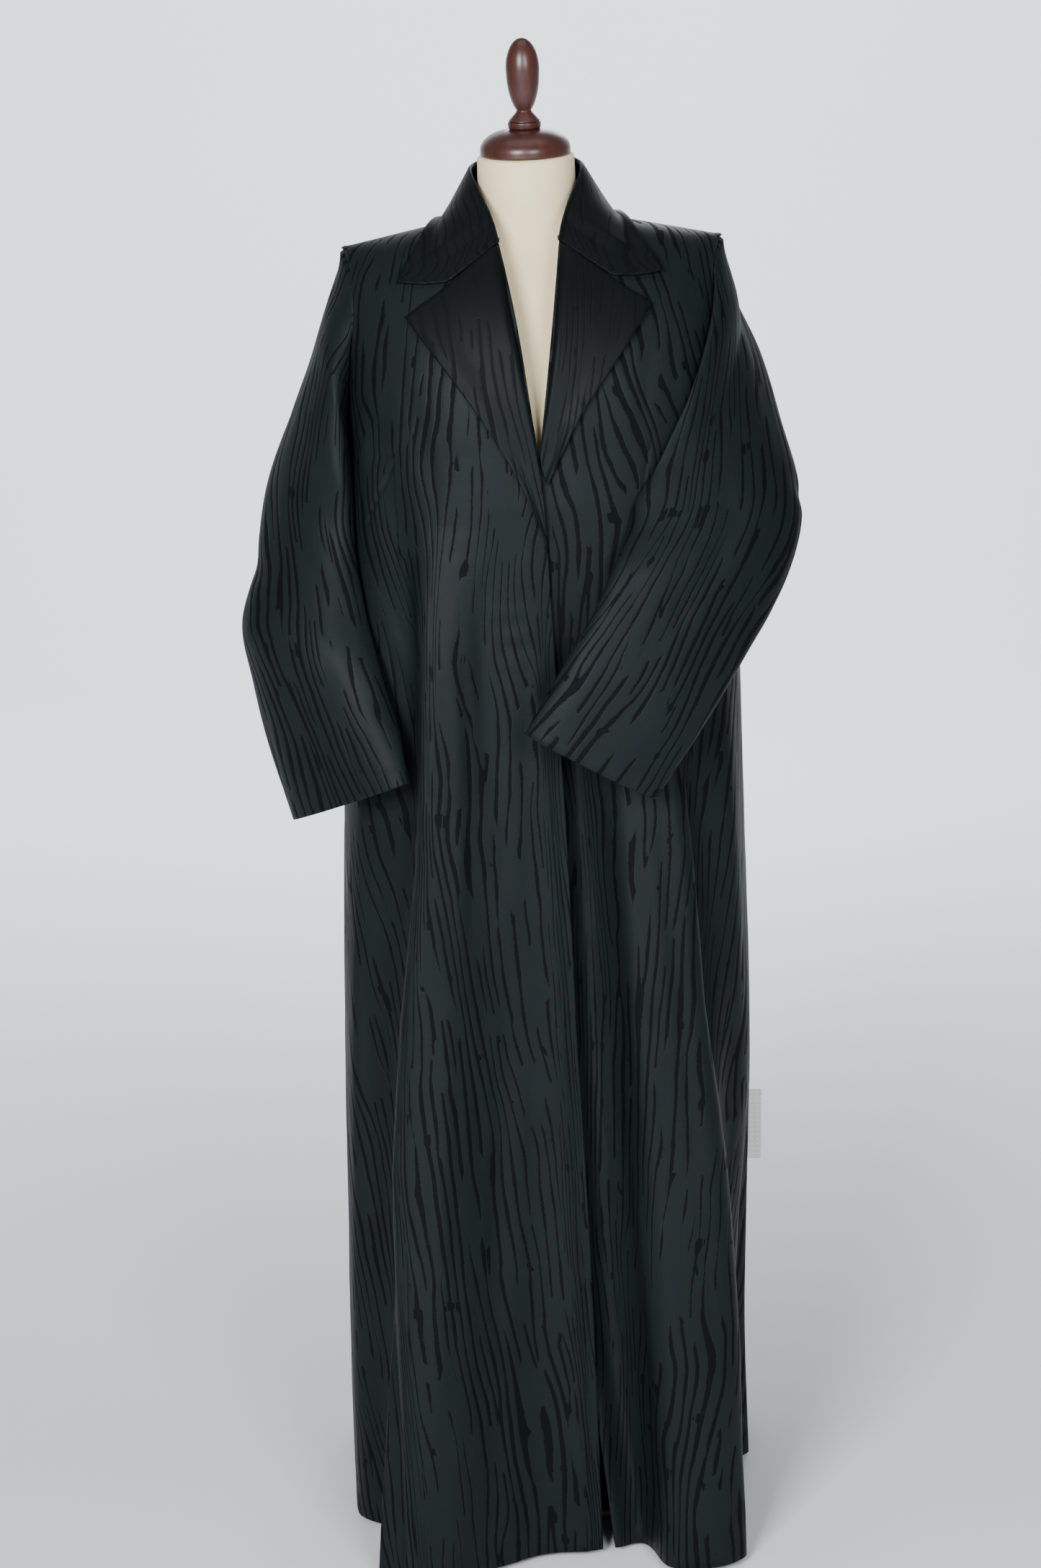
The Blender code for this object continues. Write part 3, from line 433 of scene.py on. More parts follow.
class Pleat(NamedTuple):
    """A long ridge, or a trough where the depth is below 0, that fades in from its top."""

    line: tuple[tuple[float, float], ...]
    width_minus: float
    width_plus: float
    depth: float
    top_z: float
    full_z: float
    gather: float = 0.0
    gather_reach: float = 0.010

    def offset(self, x: Grid, z: Grid) -> Grid:
        """Distance of places x, z from the pleat's line."""
        return x - np.interp(z, [row[0] for row in self.line], [row[1] for row in self.line])

    def strength(self, z: Grid) -> Grid:
        """How much of the pleat is there at height z, from 0 to 1."""
        return ease((self.top_z - z) / (self.top_z - self.full_z))

    def height(self, x: Grid, z: Grid) -> Grid:
        """How far the cloth moves out at places x, z."""
        offset = self.offset(x, z)
        width = np.where(offset < 0, self.width_minus, self.width_plus)
        return self.depth * swell(offset / width) * self.strength(z)

    def taken_up(self, x: Grid, z: Grid) -> Grid:
        """Cloth that the pleat has gathered in, measured across the grain, so that its lines crowd."""
        share = ease((self.offset(x, z) / self.gather_reach + 1.0) / 2.0) - 0.5
        return self.gather * share * self.strength(z)


@dataclass(frozen=True)
class Garment:
    """The surface that the cloak is cut on: stacked sections, folds and padded shoulders."""

    seam: float = 0.00012
    hem_z: float = 0.008
    armpit_z: float = 1.195
    tip_z: float = 1.407
    tip_x: float = 0.203
    shoulder_slope: float = 0.203
    shoulder_round: float = 2.3
    neck_point_x: float = 0.068
    back_neck_y: float = 0.066
    gorge_x: float = 0.032
    gorge_y: float = 0.090
    gorge_z: float = 1.405
    armhole_dip_front: float = 24.0
    armhole_dip_back: float = 18.0
    armhole_bow: float = 0.8
    edge_rise: float = 0.9
    under_drop_depth: float = 0.0055
    under_ramp: float = 0.045
    row_crowding: float = 1.35
    lower_rows: int = 150
    upper_rows: int = 52
    samples: int = 400

    def side_reach(self, x_sign: Grid, z: Grid) -> Grid:
        """Half width of the cloth on the side that the sign names."""
        return np.where(x_sign < 0, table_value(SECTIONS, "left", z), table_value(SECTIONS, "right", z))

    def depth(self, y_sign: Grid | int, z: Grid | float) -> Grid:
        """Depth of the cloth before or behind the middle, as the sign says."""
        return np.where(np.asarray(y_sign) < 0, table_value(SECTIONS, "front", z),
                        table_value(SECTIONS, "back", z))

    def shoulder_height(self, x: Grid) -> Grid:
        """Height of the shoulder line over each x."""
        return self.tip_z + (self.tip_x - np.abs(x)) * self.shoulder_slope

    def fold_depth(self, facing: int, angle: Grid, z: Grid) -> Grid:
        """How far the folds push the cloth out at an angle in degrees and a height."""
        total = np.zeros_like(angle * z)
        for fold in FOLDS:
            if fold.facing != facing:
                continue
            down = np.clip((fold.top_z - z) / (fold.top_z - self.hem_z), 0.0, 1.0)
            offset = angle - fold.angle_top - (fold.angle_hem - fold.angle_top) * down
            width = np.where(offset < 0, fold.width_minus, fold.width_plus)
            total = total + fold.depth * down ** fold.growth * swell(offset / width)
        return total

    def cloth_point(self, facing: int, angle: Grid, level: Grid | float, rise: Grid | float) -> Grid:
        """Points of the garment surface.

        Args:
            facing: -1 in front and 1 behind.
            angle: Degrees from the panel's centre towards +X.
            level: Height up to the armpit.
            rise: 0 at the armpit to 90 at the shoulder seam.

        Returns:
            The points, with a last axis of three.
        """
        angle, level, rise = np.broadcast_arrays(*(np.asarray(v, float) for v in (angle, level, rise)))
        turn, lift = np.radians(angle), np.radians(rise)
        square = 2.0 / table_value(SECTIONS, "square", level)
        power = 2.0 / self.shoulder_round
        reach, depth = self.side_reach(angle, level), self.depth(facing, level)
        across = np.sign(turn) * np.abs(np.sin(turn)) ** square
        along = np.maximum(np.cos(turn), 0.0) ** square
        x = reach * across
        y = facing * depth * along * np.maximum(np.cos(lift), 0.0) ** power
        z = level + (self.shoulder_height(x) - level) * np.abs(np.sin(lift)) ** power
        steep = 2.0 / square - 1.0
        normal = np.stack([np.sign(across) * np.abs(across) ** steep / reach,
                           facing * along ** steep / depth], -1)
        push = (self.fold_depth(facing, angle, level) * (rise <= 0))[..., None] * unit(normal)
        return np.stack([x + push[..., 0], y + push[..., 1], z], -1)

    def angle_at(self, x: Grid | float, z: Grid | float) -> Grid:
        """Angle in degrees of the surface point that has this x at this height."""
        share = np.clip(np.abs(x) / self.side_reach(x, z), 0.0, 1.0)
        return np.sign(x) * np.degrees(np.arcsin(share ** (table_value(SECTIONS, "square", z) / 2.0)))

    def surface_y(self, x: Grid, z: Grid) -> Grid:
        """Depth of the garment's front over points x, z."""
        level = np.minimum(z, self.armpit_z)
        height = np.clip((z - level) / (self.shoulder_height(x) - level), 0.0, 1.0)
        square = table_value(SECTIONS, "square", level)
        share = np.clip(np.abs(x) / self.side_reach(x, level), 0.0, 1.0)
        flat = self.depth(-1, level) * round_off(height, self.shoulder_round) * round_off(share, square)
        return -flat - self.fold_depth(-1, self.angle_at(x, level), level) * (z < self.armpit_z)

    def surface_z(self, x: Grid, y: Grid) -> Grid:
        """Height of the garment surface over points x, y of the shoulders."""
        square = table_value(SECTIONS, "square", self.armpit_z)
        share = np.clip(np.abs(x) / self.side_reach(x, self.armpit_z), 0.0, 1.0)
        room = self.depth(y, self.armpit_z) * round_off(share, square)
        height = round_off(np.clip(np.abs(y) / room, 0.0, 1.0), self.shoulder_round)
        return self.armpit_z + (self.shoulder_height(x) - self.armpit_z) * height

    def lifted_clear(self, points: Grid, clearance: float) -> Grid:
        """Points over the shoulders moved out from the chest until they clear the surface."""
        centre = np.array([0.0, 0.0, self.armpit_z])
        rays = points - centre
        near, far = np.full(points.shape[:-1], 0.2), np.full(points.shape[:-1], 2.0)
        square = table_value(SECTIONS, "square", self.armpit_z)
        for _ in range(26):
            scale = (near + far) / 2
            trial = rays * scale[..., None]
            share = np.abs(trial[..., 0]) / self.side_reach(trial[..., 0], self.armpit_z)
            room = self.depth(trial[..., 1], self.armpit_z) * round_off(np.clip(share, 0.0, 0.999), square)
            tall = np.abs(trial[..., 2]) / (self.shoulder_height(trial[..., 0]) - self.armpit_z)
            wide = np.abs(trial[..., 1]) / room
            outside = wide ** self.shoulder_round + tall ** self.shoulder_round > 1.0
            far = np.where(outside, scale, far)
            near = np.where(outside, near, scale)
        length = np.linalg.norm(rays, axis=-1)
        return centre + rays * (np.maximum(length, length * near + clearance) / length)[..., None]

    def edge_x(self, edge: Edge, z: Grid | float) -> Grid:
        """x of a front's edge at a height."""
        return table_value(FRONT_EDGES, edge.value, z)

    def armhole_rises(self, turns: Grid | float) -> Grid:
        """Rise of the armhole's edge at each turn of the sleeve's head, -90 at the armpit."""
        height = (1.0 + np.sin(np.radians(turns))) / 2.0
        return np.degrees(np.arcsin(np.clip(height, 0.0, 1.0) ** (self.shoulder_round / 2.0)))

    def armhole_angle(self, facing: int, share: float) -> float:
        """Angle of the armhole's edge, from the armpit (share 0) to the shoulder tip (1)."""
        dip = self.armhole_dip_front if facing < 0 else self.armhole_dip_back
        return 90.0 - dip * np.sin(np.pi * share) ** self.armhole_bow

    def neckline_y(self, facing: int, x: Grid) -> Grid:
        """Depth of the neckline at x, in front or behind."""
        x = np.abs(x)
        if facing < 0:
            share = np.clip((x - self.gorge_x) / (self.neck_point_x - self.gorge_x), 0.0, 1.0)
            return self.gorge_y * np.sqrt(1.0 - share ** 2)
        return self.back_neck_y * np.sqrt(1.0 - np.clip(x / self.neck_point_x, 0.0, 1.0) ** 2)

    def top_rise(self, facing: int, angle: Grid) -> Grid:
        """Rise of the panel's top edge: the shoulder seam, or the neckline inside the neck point."""
        flat = self.cloth_point(facing, angle, self.armpit_z, 0.0)
        x, depth = flat[..., 0], np.maximum(np.abs(flat[..., 1]), 1e-6)
        share = np.clip(self.neckline_y(facing, x) / depth, 0, 1) ** (self.shoulder_round / 2.0)
        share = np.where(np.abs(x) < self.neck_point_x, share, 0.0)
        return np.degrees(np.arccos(share))

    def panel_grid(self, facing: int, spans: Callable[[float, float], tuple[float, float]],
                   columns: int) -> Grid:
        """Rows of a panel from hem to shoulder.

        Args:
            facing: -1 in front and 1 behind.
            spans: Gives a row's first and last angle from its height and its armhole share.
            columns: Number of columns.

        Returns:
            The grid of points.
        """
        across = np.linspace(0.0, 1.0, self.samples)
        rows = []
        shares = 1.0 - (1.0 - np.linspace(0.0, 1.0, self.lower_rows)) ** self.row_crowding
        for z in self.hem_z + (self.armpit_z - self.hem_z) * shares:
            first, last = spans(z, 0.0)
            rows.append(self.cloth_point(facing, first + (last - first) * across, z, 0.0))
        for share in self.armhole_rises(np.linspace(-90.0, 90.0, self.upper_rows))[1:] / 90.0:
            edge_z = self.armpit_z + (self.gorge_z - self.armpit_z) * share ** self.edge_rise
            first, last = spans(edge_z, share)
            angle = first + (last - first) * across
            rise = share * self.top_rise(facing, angle)
            rows.append(self.cloth_point(facing, angle, self.armpit_z, rise))
        return self.on_own_side(np.stack([resampled(row, columns) for row in rows]), facing)

    def on_own_side(self, points: Grid, facing: int) -> Grid:
        """The points, kept on their own side of the side seams."""
        points[..., 1] = facing * np.maximum(facing * points[..., 1], self.seam)
        return points

    def body_ring(self, z: float) -> tuple[Grid, Grid]:
        """Directions and radii of the whole garment surface at a height."""
        angles = np.linspace(-90.0, 90.0, 160)
        rings = []
        for facing in (-1, 1):
            level = min(z, self.armpit_z)
            points = self.cloth_point(facing, angles, level, 0.0)
            height = np.clip((z - level) / (self.shoulder_height(points[:, 0]) - level), 0.0, 1.0)
            points[:, 1] *= round_off(height, self.shoulder_round)
            rings.append(points)
        ring = np.concatenate(rings)
        turn = np.arctan2(ring[:, 1], ring[:, 0])
        order = np.argsort(turn)
        return turn[order], np.hypot(ring[:, 0], ring[:, 1])[order]

    def under_drop(self, x: Grid, z: Grid) -> Grid:
        """How far the lower front lies beneath the garment surface."""
        cover = self.edge_x(Edge.UPPER, np.minimum(z, self.gorge_z)) + self.under_ramp
        return self.under_drop_depth * ease((cover - x) / self.under_ramp)


def linear(colour: str) -> tuple[float, float, float, float]:
    """An sRGB hex colour as linear RGBA."""
    parts = [int(colour[k:k + 2], 16) / 255.0 for k in (0, 2, 4)]
    return (*(c / 12.92 if c <= 0.04045 else ((c + 0.055) / 1.055) ** 2.4 for c in parts), 1.0)


def feed(tree: NodeTree, node: bpy.types.Node, inputs: dict[str | int, object]) -> None:
    """Links each input of a node to the socket given for it, or sets it to the value given."""
    for name, value in inputs.items():
        if isinstance(value, Socket):
            tree.links.new(value, node.inputs[name])
        else:
            node.inputs[name].default_value = value


def add_node(tree: NodeTree, kind: str, inputs: dict[str | int, object] | None = None,
             **settings: object) -> bpy.types.Node:
    """Adds a node with its settings and links.

    Args:
        tree: The node tree.
        kind: The node's type name after its ShaderNode prefix.
        inputs: A socket to link, or a value to set, for each input by name or place.
        settings: The node's own properties.

    Returns:
        The node.
    """
    made = tree.nodes.new(f"ShaderNode{kind}")
    for name, value in settings.items():
        setattr(made, name, value)
    feed(tree, made, inputs or {})
    return made


def new_material(name: str) -> tuple[Material, NodeTree, bpy.types.Node]:
    """A material with its tree and its Principled shader."""
    made = bpy.data.materials.new(name)
    made.use_nodes = True
    return made, made.node_tree, made.node_tree.nodes["Principled BSDF"]


def math_node(tree: NodeTree, operation: str, *values: object) -> Socket:
    """The result of a Math node over sockets or numbers."""
    return add_node(tree, "Math", dict(enumerate(values)), operation=operation).outputs[0]


class Ripple(NamedTuple):
    """Noise with its cell in millimetres across and along the grain, and how much of it is added."""

    size_u: float
    size_v: float
    amount: float


@dataclass(frozen=True)
class BarkJacquard:
    """Polyester satin jacquard woven with matte bark lines.

    The satin ground gives the eye a soft grey sheen that follows each fold; the lines are a flat
    weave, near black, that draws the cloth in, so that the ground puffs up between them.
    """

    name: str = "polyester_satin_jacquard"
    ground: str = "151b1c"
    ground_worn: str = "1d2425"
    ground_facing: str = "090d0e"
    line: str = "040607"
    spacing_mm: float = 12.0
    run_mm: float = 135.0
    line_share: float = 0.27
    ground_roughness: float = 0.50
    line_roughness: float = 0.75
    puff_mm: float = 0.26
    rib_mm: float = 1.1
    gloss: float = 0.08
    facing_thinning: float = 0.10
    bridge_from: float = 0.755
    bridge_full: float = 0.785
    bridge_width: float = 0.85
    break_from: float = 0.400
    break_full: float = 0.435
    break_shift: tuple[float, float, float] = (3.1, 1.7, 0.0)
    wander: tuple[Ripple, ...] = (Ripple(90.0, 260.0, 62.0), Ripple(36.0, 100.0, 11.0),
                                  Ripple(11.0, 26.0, 1.9), Ripple(2.2, 3.0, 0.7))
    swing: tuple[Ripple, ...] = (Ripple(110.0, 190.0, 0.75), Ripple(16.0, 42.0, 0.35), Ripple(1.8, 2.6, 0.22))

    def build(self) -> Material:
        """Makes the material from the cloth's grain coordinates, which are metres on the cut."""
        made, tree, shader = new_material(self.name)
        add, calc = partial(add_node, tree), partial(math_node, tree)
        grain = add("Attribute", attribute_name="grain").outputs["Vector"]
        split = add("SeparateXYZ", {"Vector": grain}).outputs
        bold = split["Z"]
        # Wander of the lines, in millimetres: drifts that bunch and part them, waves, then a ragged edge
        across = calc("MULTIPLY", split["X"], 1000.0)
        for size_u, size_v, amount in self.wander:
            across = calc("MULTIPLY_ADD", self.noise(tree, grain, size_u, size_v, 1.0), amount, across)
        across = calc("MULTIPLY", across, 0.5 / self.spacing_mm)
        along = calc("MULTIPLY", split["Y"], 1000.0 / self.run_mm)
        place = add("CombineXYZ", {"X": across, "Y": along}).outputs["Vector"]
        # Gabor stripes fork and end as bark does; two of them go into one unit of place
        stripe = add("TexGabor", {"Vector": place, "Scale": 1.0, "Frequency": 2.0,
                                  "Anisotropy": 1.0, "Orientation": 0.0}, gabor_type="2D").outputs["Phase"]
        ramp = calc("MULTIPLY", calc("PINGPONG", stripe, 0.5), 2.0)
        # Width of the lines: it changes slowly over the cloth, and a little along each line
        width = calc("MULTIPLY_ADD", bold, self.facing_thinning, self.line_share - self.facing_thinning)
        for size_u, size_v, amount in self.swing:
            swing = calc("SUBTRACT", self.noise(tree, grain, size_u, size_v, 1.0), 0.5)
            width = calc("MULTIPLY_ADD", swing, amount, width)
        # Short bridges join two lines; where the plain ground breaks a line off, it ends bluntly
        spots = self.noise(tree, grain, 15.0, 26.0, 0.0)
        bridge = add("MapRange", {"Value": spots, "From Min": self.bridge_from,
                                  "From Max": self.bridge_full}).outputs["Result"]
        width = calc("MAXIMUM", width, calc("MULTIPLY", bridge, self.bridge_width))
        shift = add("VectorMath", {0: grain, 1: Vector(self.break_shift)}, operation="ADD")
        woven = self.noise(tree, shift.outputs[0], 21.0, 95.0, 1.0)
        broken = add("MapRange", {"Value": woven, "From Min": self.break_from, "From Max": self.break_full,
                                  "To Min": -0.5, "To Max": 1.0}).outputs["Result"]
        width = calc("MINIMUM", width, broken)
        inside = calc("SUBTRACT", width, ramp)
        mask = add("MapRange", {"Value": inside, "From Min": -0.04, "From Max": 0.04},
                   interpolation_type="SMOOTHSTEP").outputs["Result"]
        rim = add("MapRange", {"Value": inside, "From Min": 0.03, "From Max": 0.14,
                               "To Min": 1.0, "To Max": 0.88}).outputs["Result"]
        shown = calc("MULTIPLY", mask, calc("MULTIPLY_ADD", bold, 0.45, 0.55))
        shown = calc("MULTIPLY", shown, rim)
        # Slow change of the satin's tone, from the dye and the press; facings are a closer, darker weave
        tone = self.noise(tree, grain, 90.0, 140.0, 2.0)
        ground = add("Mix", {"Factor": tone, "A": linear(self.ground),
                             "B": linear(self.ground_worn)}, data_type="RGBA")
        ground = add("Mix", {"Factor": bold, "A": linear(self.ground_facing),
                             "B": ground.outputs["Result"]}, data_type="RGBA")
        speckle = self.noise(tree, grain, 1.1, 0.9, 2.0)
        ground = add("Mix", {"Factor": calc("MULTIPLY", speckle, 0.5),
                             "A": ground.outputs["Result"], "B": linear(self.line)}, data_type="RGBA")
        colour = add("Mix", {"Factor": shown, "A": ground.outputs["Result"],
                             "B": linear(self.line)}, data_type="RGBA")
        rough = add("MapRange", {"Value": shown, "To Min": self.ground_roughness,
                                 "To Max": self.line_roughness}).outputs["Result"]
        # The ground puffs between the lines; a weft rib, drawn coarser than its 0.3 mm so that it shows
        puff = add("MapRange", {"Value": inside, "From Min": 0.02, "From Max": -0.35},
                   interpolation_type="SMOOTHSTEP").outputs["Result"]
        rib = add("TexWave", {"Vector": grain, "Scale": 1000.0 / self.rib_mm / WAVE_UNITS,
                              "Distortion": 0.6, "Detail": 1.0, "Detail Scale": 3.0},
                  wave_type="BANDS", bands_direction="Y").outputs["Fac"]
        pucker = self.noise(tree, grain, 9.0, 34.0, 1.0)
        height = calc("MULTIPLY_ADD", rib, 0.05, calc("MULTIPLY", puff, 0.8))
        height = calc("MULTIPLY_ADD", pucker, 1.0, height)
        bump = add("Bump", {"Strength": 0.8, "Distance": self.puff_mm * MM,
                            "Height": height}).outputs["Normal"]
        feed(tree, shader, {"Base Color": colour.outputs["Result"], "Roughness": rough, "Normal": bump,
                            "IOR": 1.5, "Specular IOR Level": self.gloss})
        return made

    @staticmethod
    def noise(tree: NodeTree, grain: Socket, size_u: float, size_v: float, detail: float) -> Socket:
        """Noise with a cell of size_u by size_v millimetres on the cut.

        Args:
            tree: The node tree.
            grain: Grain coordinates in metres.
            size_u: Cell across the grain.
            size_v: Cell along the grain.
            detail: Octaves of finer noise.

        Returns:
            Its value, near 0.5 on average.
        """
        scale = Vector((1000.0 / size_u, 1000.0 / size_v, 0.0))
        place = add_node(tree, "VectorMath", {0: grain, 1: scale}, operation="MULTIPLY")
        shift = add_node(tree, "VectorMath", {0: place.outputs[0], 1: Vector((size_u, size_v, 0.7))},
                         operation="ADD")
        return add_node(tree, "TexNoise", {"Vector": shift.outputs[0], "Scale": 1.0,
                                           "Detail": detail}).outputs["Fac"]


@dataclass(frozen=True)
class WovenTape:
    """Cotton tape in a plain weave: matte, off-white, with a fine even check of threads."""

    name: str = "plain_weave_cotton_tape"
    light: str = "fafaf5"
    dark: str = "e6e7e0"
    thread_mm: float = 0.9

    def build(self) -> Material:
        """Makes the tape's material."""
        made, tree, shader = new_material(self.name)
        add, calc = partial(add_node, tree), partial(math_node, tree)
        place = add("TexCoord").outputs["Object"]
        check = [add("TexWave", {"Vector": place, "Scale": 1000.0 / self.thread_mm / WAVE_UNITS},
                     wave_type="BANDS", bands_direction=way).outputs["Fac"] for way in ("X", "Z")]
        weave = calc("MULTIPLY", *check)
        colour = add("Mix", {"Factor": weave, "A": linear(self.dark),
                             "B": linear(self.light)}, data_type="RGBA").outputs["Result"]
        bump = add("Bump", {"Strength": 0.5, "Distance": 0.2 * MM, "Height": weave})
        feed(tree, shader, {"Base Color": colour, "Normal": bump.outputs["Normal"], "Roughness": 0.85,
                            "Sheen Weight": 0.2})
        return made


@dataclass(frozen=True)
class StretchJersey:
    """Cotton jersey pulled over the form: cream, dull, with fine upright wales."""

    name: str = "cream_cotton_jersey"
    light: str = "f7e8ba"
    shade: str = "efdcac"
    wale_mm: float = 1.2

    def build(self) -> Material:
        """Makes the jersey's material."""
        made, tree, shader = new_material(self.name)
        add = partial(add_node, tree)
        place = add("TexCoord").outputs["Object"]
        cloud = add("TexNoise", {"Vector": place, "Scale": 14.0, "Detail": 3.0})
        knit = add("TexNoise", {"Vector": place, "Scale": 1000.0 / self.wale_mm, "Detail": 1.0})
        colour = add("Mix", {"Factor": cloud.outputs["Fac"], "A": linear(self.shade),
                             "B": linear(self.light)}, data_type="RGBA")
        bump = add("Bump", {"Strength": 0.25, "Distance": 0.2 * MM, "Height": knit.outputs["Fac"]})
        feed(tree, shader, {"Base Color": colour.outputs["Result"], "Normal": bump.outputs["Normal"],
                            "Roughness": 0.78, "Sheen Weight": 0.15})
        return made


@dataclass(frozen=True)
class VarnishedBeech:
    """Beech turned on a lathe, stained red-brown and varnished: a soft gloss over a faint grain."""

    name: str = "stained_varnished_beech"
    light: str = "4c261e"
    dark: str = "2e1712"
    grain_mm: float = 1.6

    def build(self) -> Material:
        """Makes the wood's material."""
        made, tree, shader = new_material(self.name)
        add, calc = partial(add_node, tree), partial(math_node, tree)
        place = add("TexCoord").outputs["Object"]
        long = add("VectorMath", {0: place, 1: Vector((1.0, 1.0, 0.08))}, operation="MULTIPLY").outputs[0]
        fleck = add("TexNoise", {"Vector": long, "Scale": 1000.0 / self.grain_mm,
                                 "Detail": 4.0, "Roughness": 0.6}).outputs["Fac"]
        band = add("TexNoise", {"Vector": long, "Scale": 70.0, "Detail": 2.0}).outputs["Fac"]
        mixed = calc("MULTIPLY_ADD", fleck, 0.55, calc("MULTIPLY", band, 0.45))
        tone = add("MapRange", {"Value": mixed, "From Min": 0.32, "From Max": 0.68})
        colour = add("Mix", {"Factor": tone.outputs["Result"], "A": linear(self.dark),
                             "B": linear(self.light)}, data_type="RGBA")
        bump = add("Bump", {"Strength": 0.15, "Distance": 0.1 * MM, "Height": fleck})
        feed(tree, shader, {"Base Color": colour.outputs["Result"], "Normal": bump.outputs["Normal"],
                            "Roughness": 0.36, "Coat Weight": 0.15, "Coat Roughness": 0.22})
        return made


@dataclass(frozen=True)
class PaintedStudio:
    """Matte emulsion on the studio's floor and wall: pale, plain, without a gloss."""

    name: str = "matte_studio_paint"
    colour: str = "e9edee"
    worn: str = "eef1f1"

    def build(self) -> Material:
        """Makes the paint's material."""
        made, tree, shader = new_material(self.name)
        add = partial(add_node, tree)
        place = add("TexCoord").outputs["Object"]
        cloud = add("TexNoise", {"Vector": place, "Scale": 0.8, "Detail": 2.0})
        colour = add("Mix", {"Factor": cloud.outputs["Fac"], "A": linear(self.colour),
                             "B": linear(self.worn)}, data_type="RGBA")
        feed(tree, shader, {"Base Color": colour.outputs["Result"], "Roughness": 0.9})
        return made


def link_mesh(name: str, points: Grid, faces: Sequence[Sequence[int]], look: Material,
              grain: Grid | None = None) -> Object:
    """An object from points and faces.

    Args:
        name: The piece's name.
        points: Vertices, one row each.
        faces: Vertex numbers of each face.
        look: The piece's material.
        grain: Grain coordinates of each vertex, for cloth.

    Returns:
        The object, linked to the scene.
    """
    mesh = bpy.data.meshes.new(name)
    mesh.from_pydata(points.tolist(), [], [tuple(int(v) for v in face) for face in faces])
    mesh.materials.append(look)
    if grain is not None:
        mesh.attributes.new("grain", "FLOAT_VECTOR", "POINT").data.foreach_set(
            "vector", grain.astype(np.float32).ravel())
    mesh.shade_smooth()
    piece = bpy.data.objects.new(name, mesh)
    bpy.context.scene.collection.objects.link(piece)
    return piece


def shell(name: str, outer: Grid, inner: Grid, grain: Grid, look: Material,
          flip: bool) -> Object:
    """A thin cloth piece between two grids, with a rounded rim all round.

    Args:
        name: The piece's name.
        outer: Grid of points on the outer face.
        inner: Grid of points on the inner face.
        grain: Grain coordinates of the grid.
        look: The cloth's material.
        flip: True where the grid's own winding faces inward.

    Returns:
        The object.
    """
    rows, columns = outer.shape[:2]
    ids = np.arange(rows * columns).reshape(rows, columns)
    quads = np.stack([ids[:-1, :-1], ids[:-1, 1:], ids[1:, 1:], ids[1:, :-1]], -1).reshape(-1, 4)
    loop = np.concatenate([ids[0, :-1], ids[:-1, -1], ids[-1, :0:-1], ids[:0:-1, 0]])
    inward = np.concatenate([ids[1, :-1], ids[:-1, -2], ids[-2, :0:-1], ids[:0:-1, 1]])
    flat_outer, flat_inner = outer.reshape(-1, 3), inner.reshape(-1, 3)
    middle = (flat_outer[loop] + flat_inner[loop]) / 2
    thick = np.linalg.norm(flat_outer[loop] - flat_inner[loop], axis=1)[:, None]
    rim = middle + unit(flat_outer[loop] - flat_outer[inward]) * thick * 0.42
    count = rows * columns
    far = np.arange(len(loop)) + 2 * count
    after = np.roll(np.arange(len(loop)), -1)
    first = np.stack([loop[after], loop, far, far[after]], -1)
    second = np.stack([far[after], far, loop + count, loop[after] + count], -1)
    faces = np.concatenate([quads, quads[:, ::-1] + count, first, second])
    if flip:
        faces = faces[:, ::-1]
    flat_grain = grain.reshape(-1, 3)
    return link_mesh(name, np.concatenate([flat_outer, flat_inner, rim]), faces, look,
                     np.concatenate([flat_grain, flat_grain, flat_grain[loop]]))


def capped_rings(rings: Grid, top_z: float, bottom_z: float) -> tuple[Grid, list[Sequence[int]]]:
    """A closed body from rings of points, with a fan over each end.

    Args:
        rings: The rings, one to a row, from the top down.
        top_z: Height of the middle of the top.
        bottom_z: Height of the middle of the bottom.

    Returns:
        The points and the faces.
    """
    count, sides = rings.shape[:2]
    points = np.concatenate([rings.reshape(-1, 3), [[0, 0, top_z], [0, 0, bottom_z]]])
    ids = np.arange(count * sides).reshape(count, sides)
    after = np.roll(ids, -1, axis=1)
    faces = list(np.stack([ids[:-1], ids[1:], after[1:], after[:-1]], -1).reshape(-1, 4))
    faces += [(count * sides, a, b) for a, b in zip(ids[0], after[0])]
    faces += [(count * sides + 1, b, a) for a, b in zip(ids[-1], after[-1])]
    return points, faces


@dataclass(frozen=True)
class Cut:
    """The flat cut of a cloth piece: width and length in metres, and area in square metres."""

    width: float
    length: float
    area: float


def dress(piece: Object, node: str) -> None:
    """Rides the piece on the frame and lets it stand for its node, which it hides.

    Args:
        piece: The piece.
        node: CAD node that it stands for.
    """
    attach(piece, "root")
    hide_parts(node)
    LOG.info("%s stands for %s with %d faces", piece.name, node, len(piece.data.polygons))
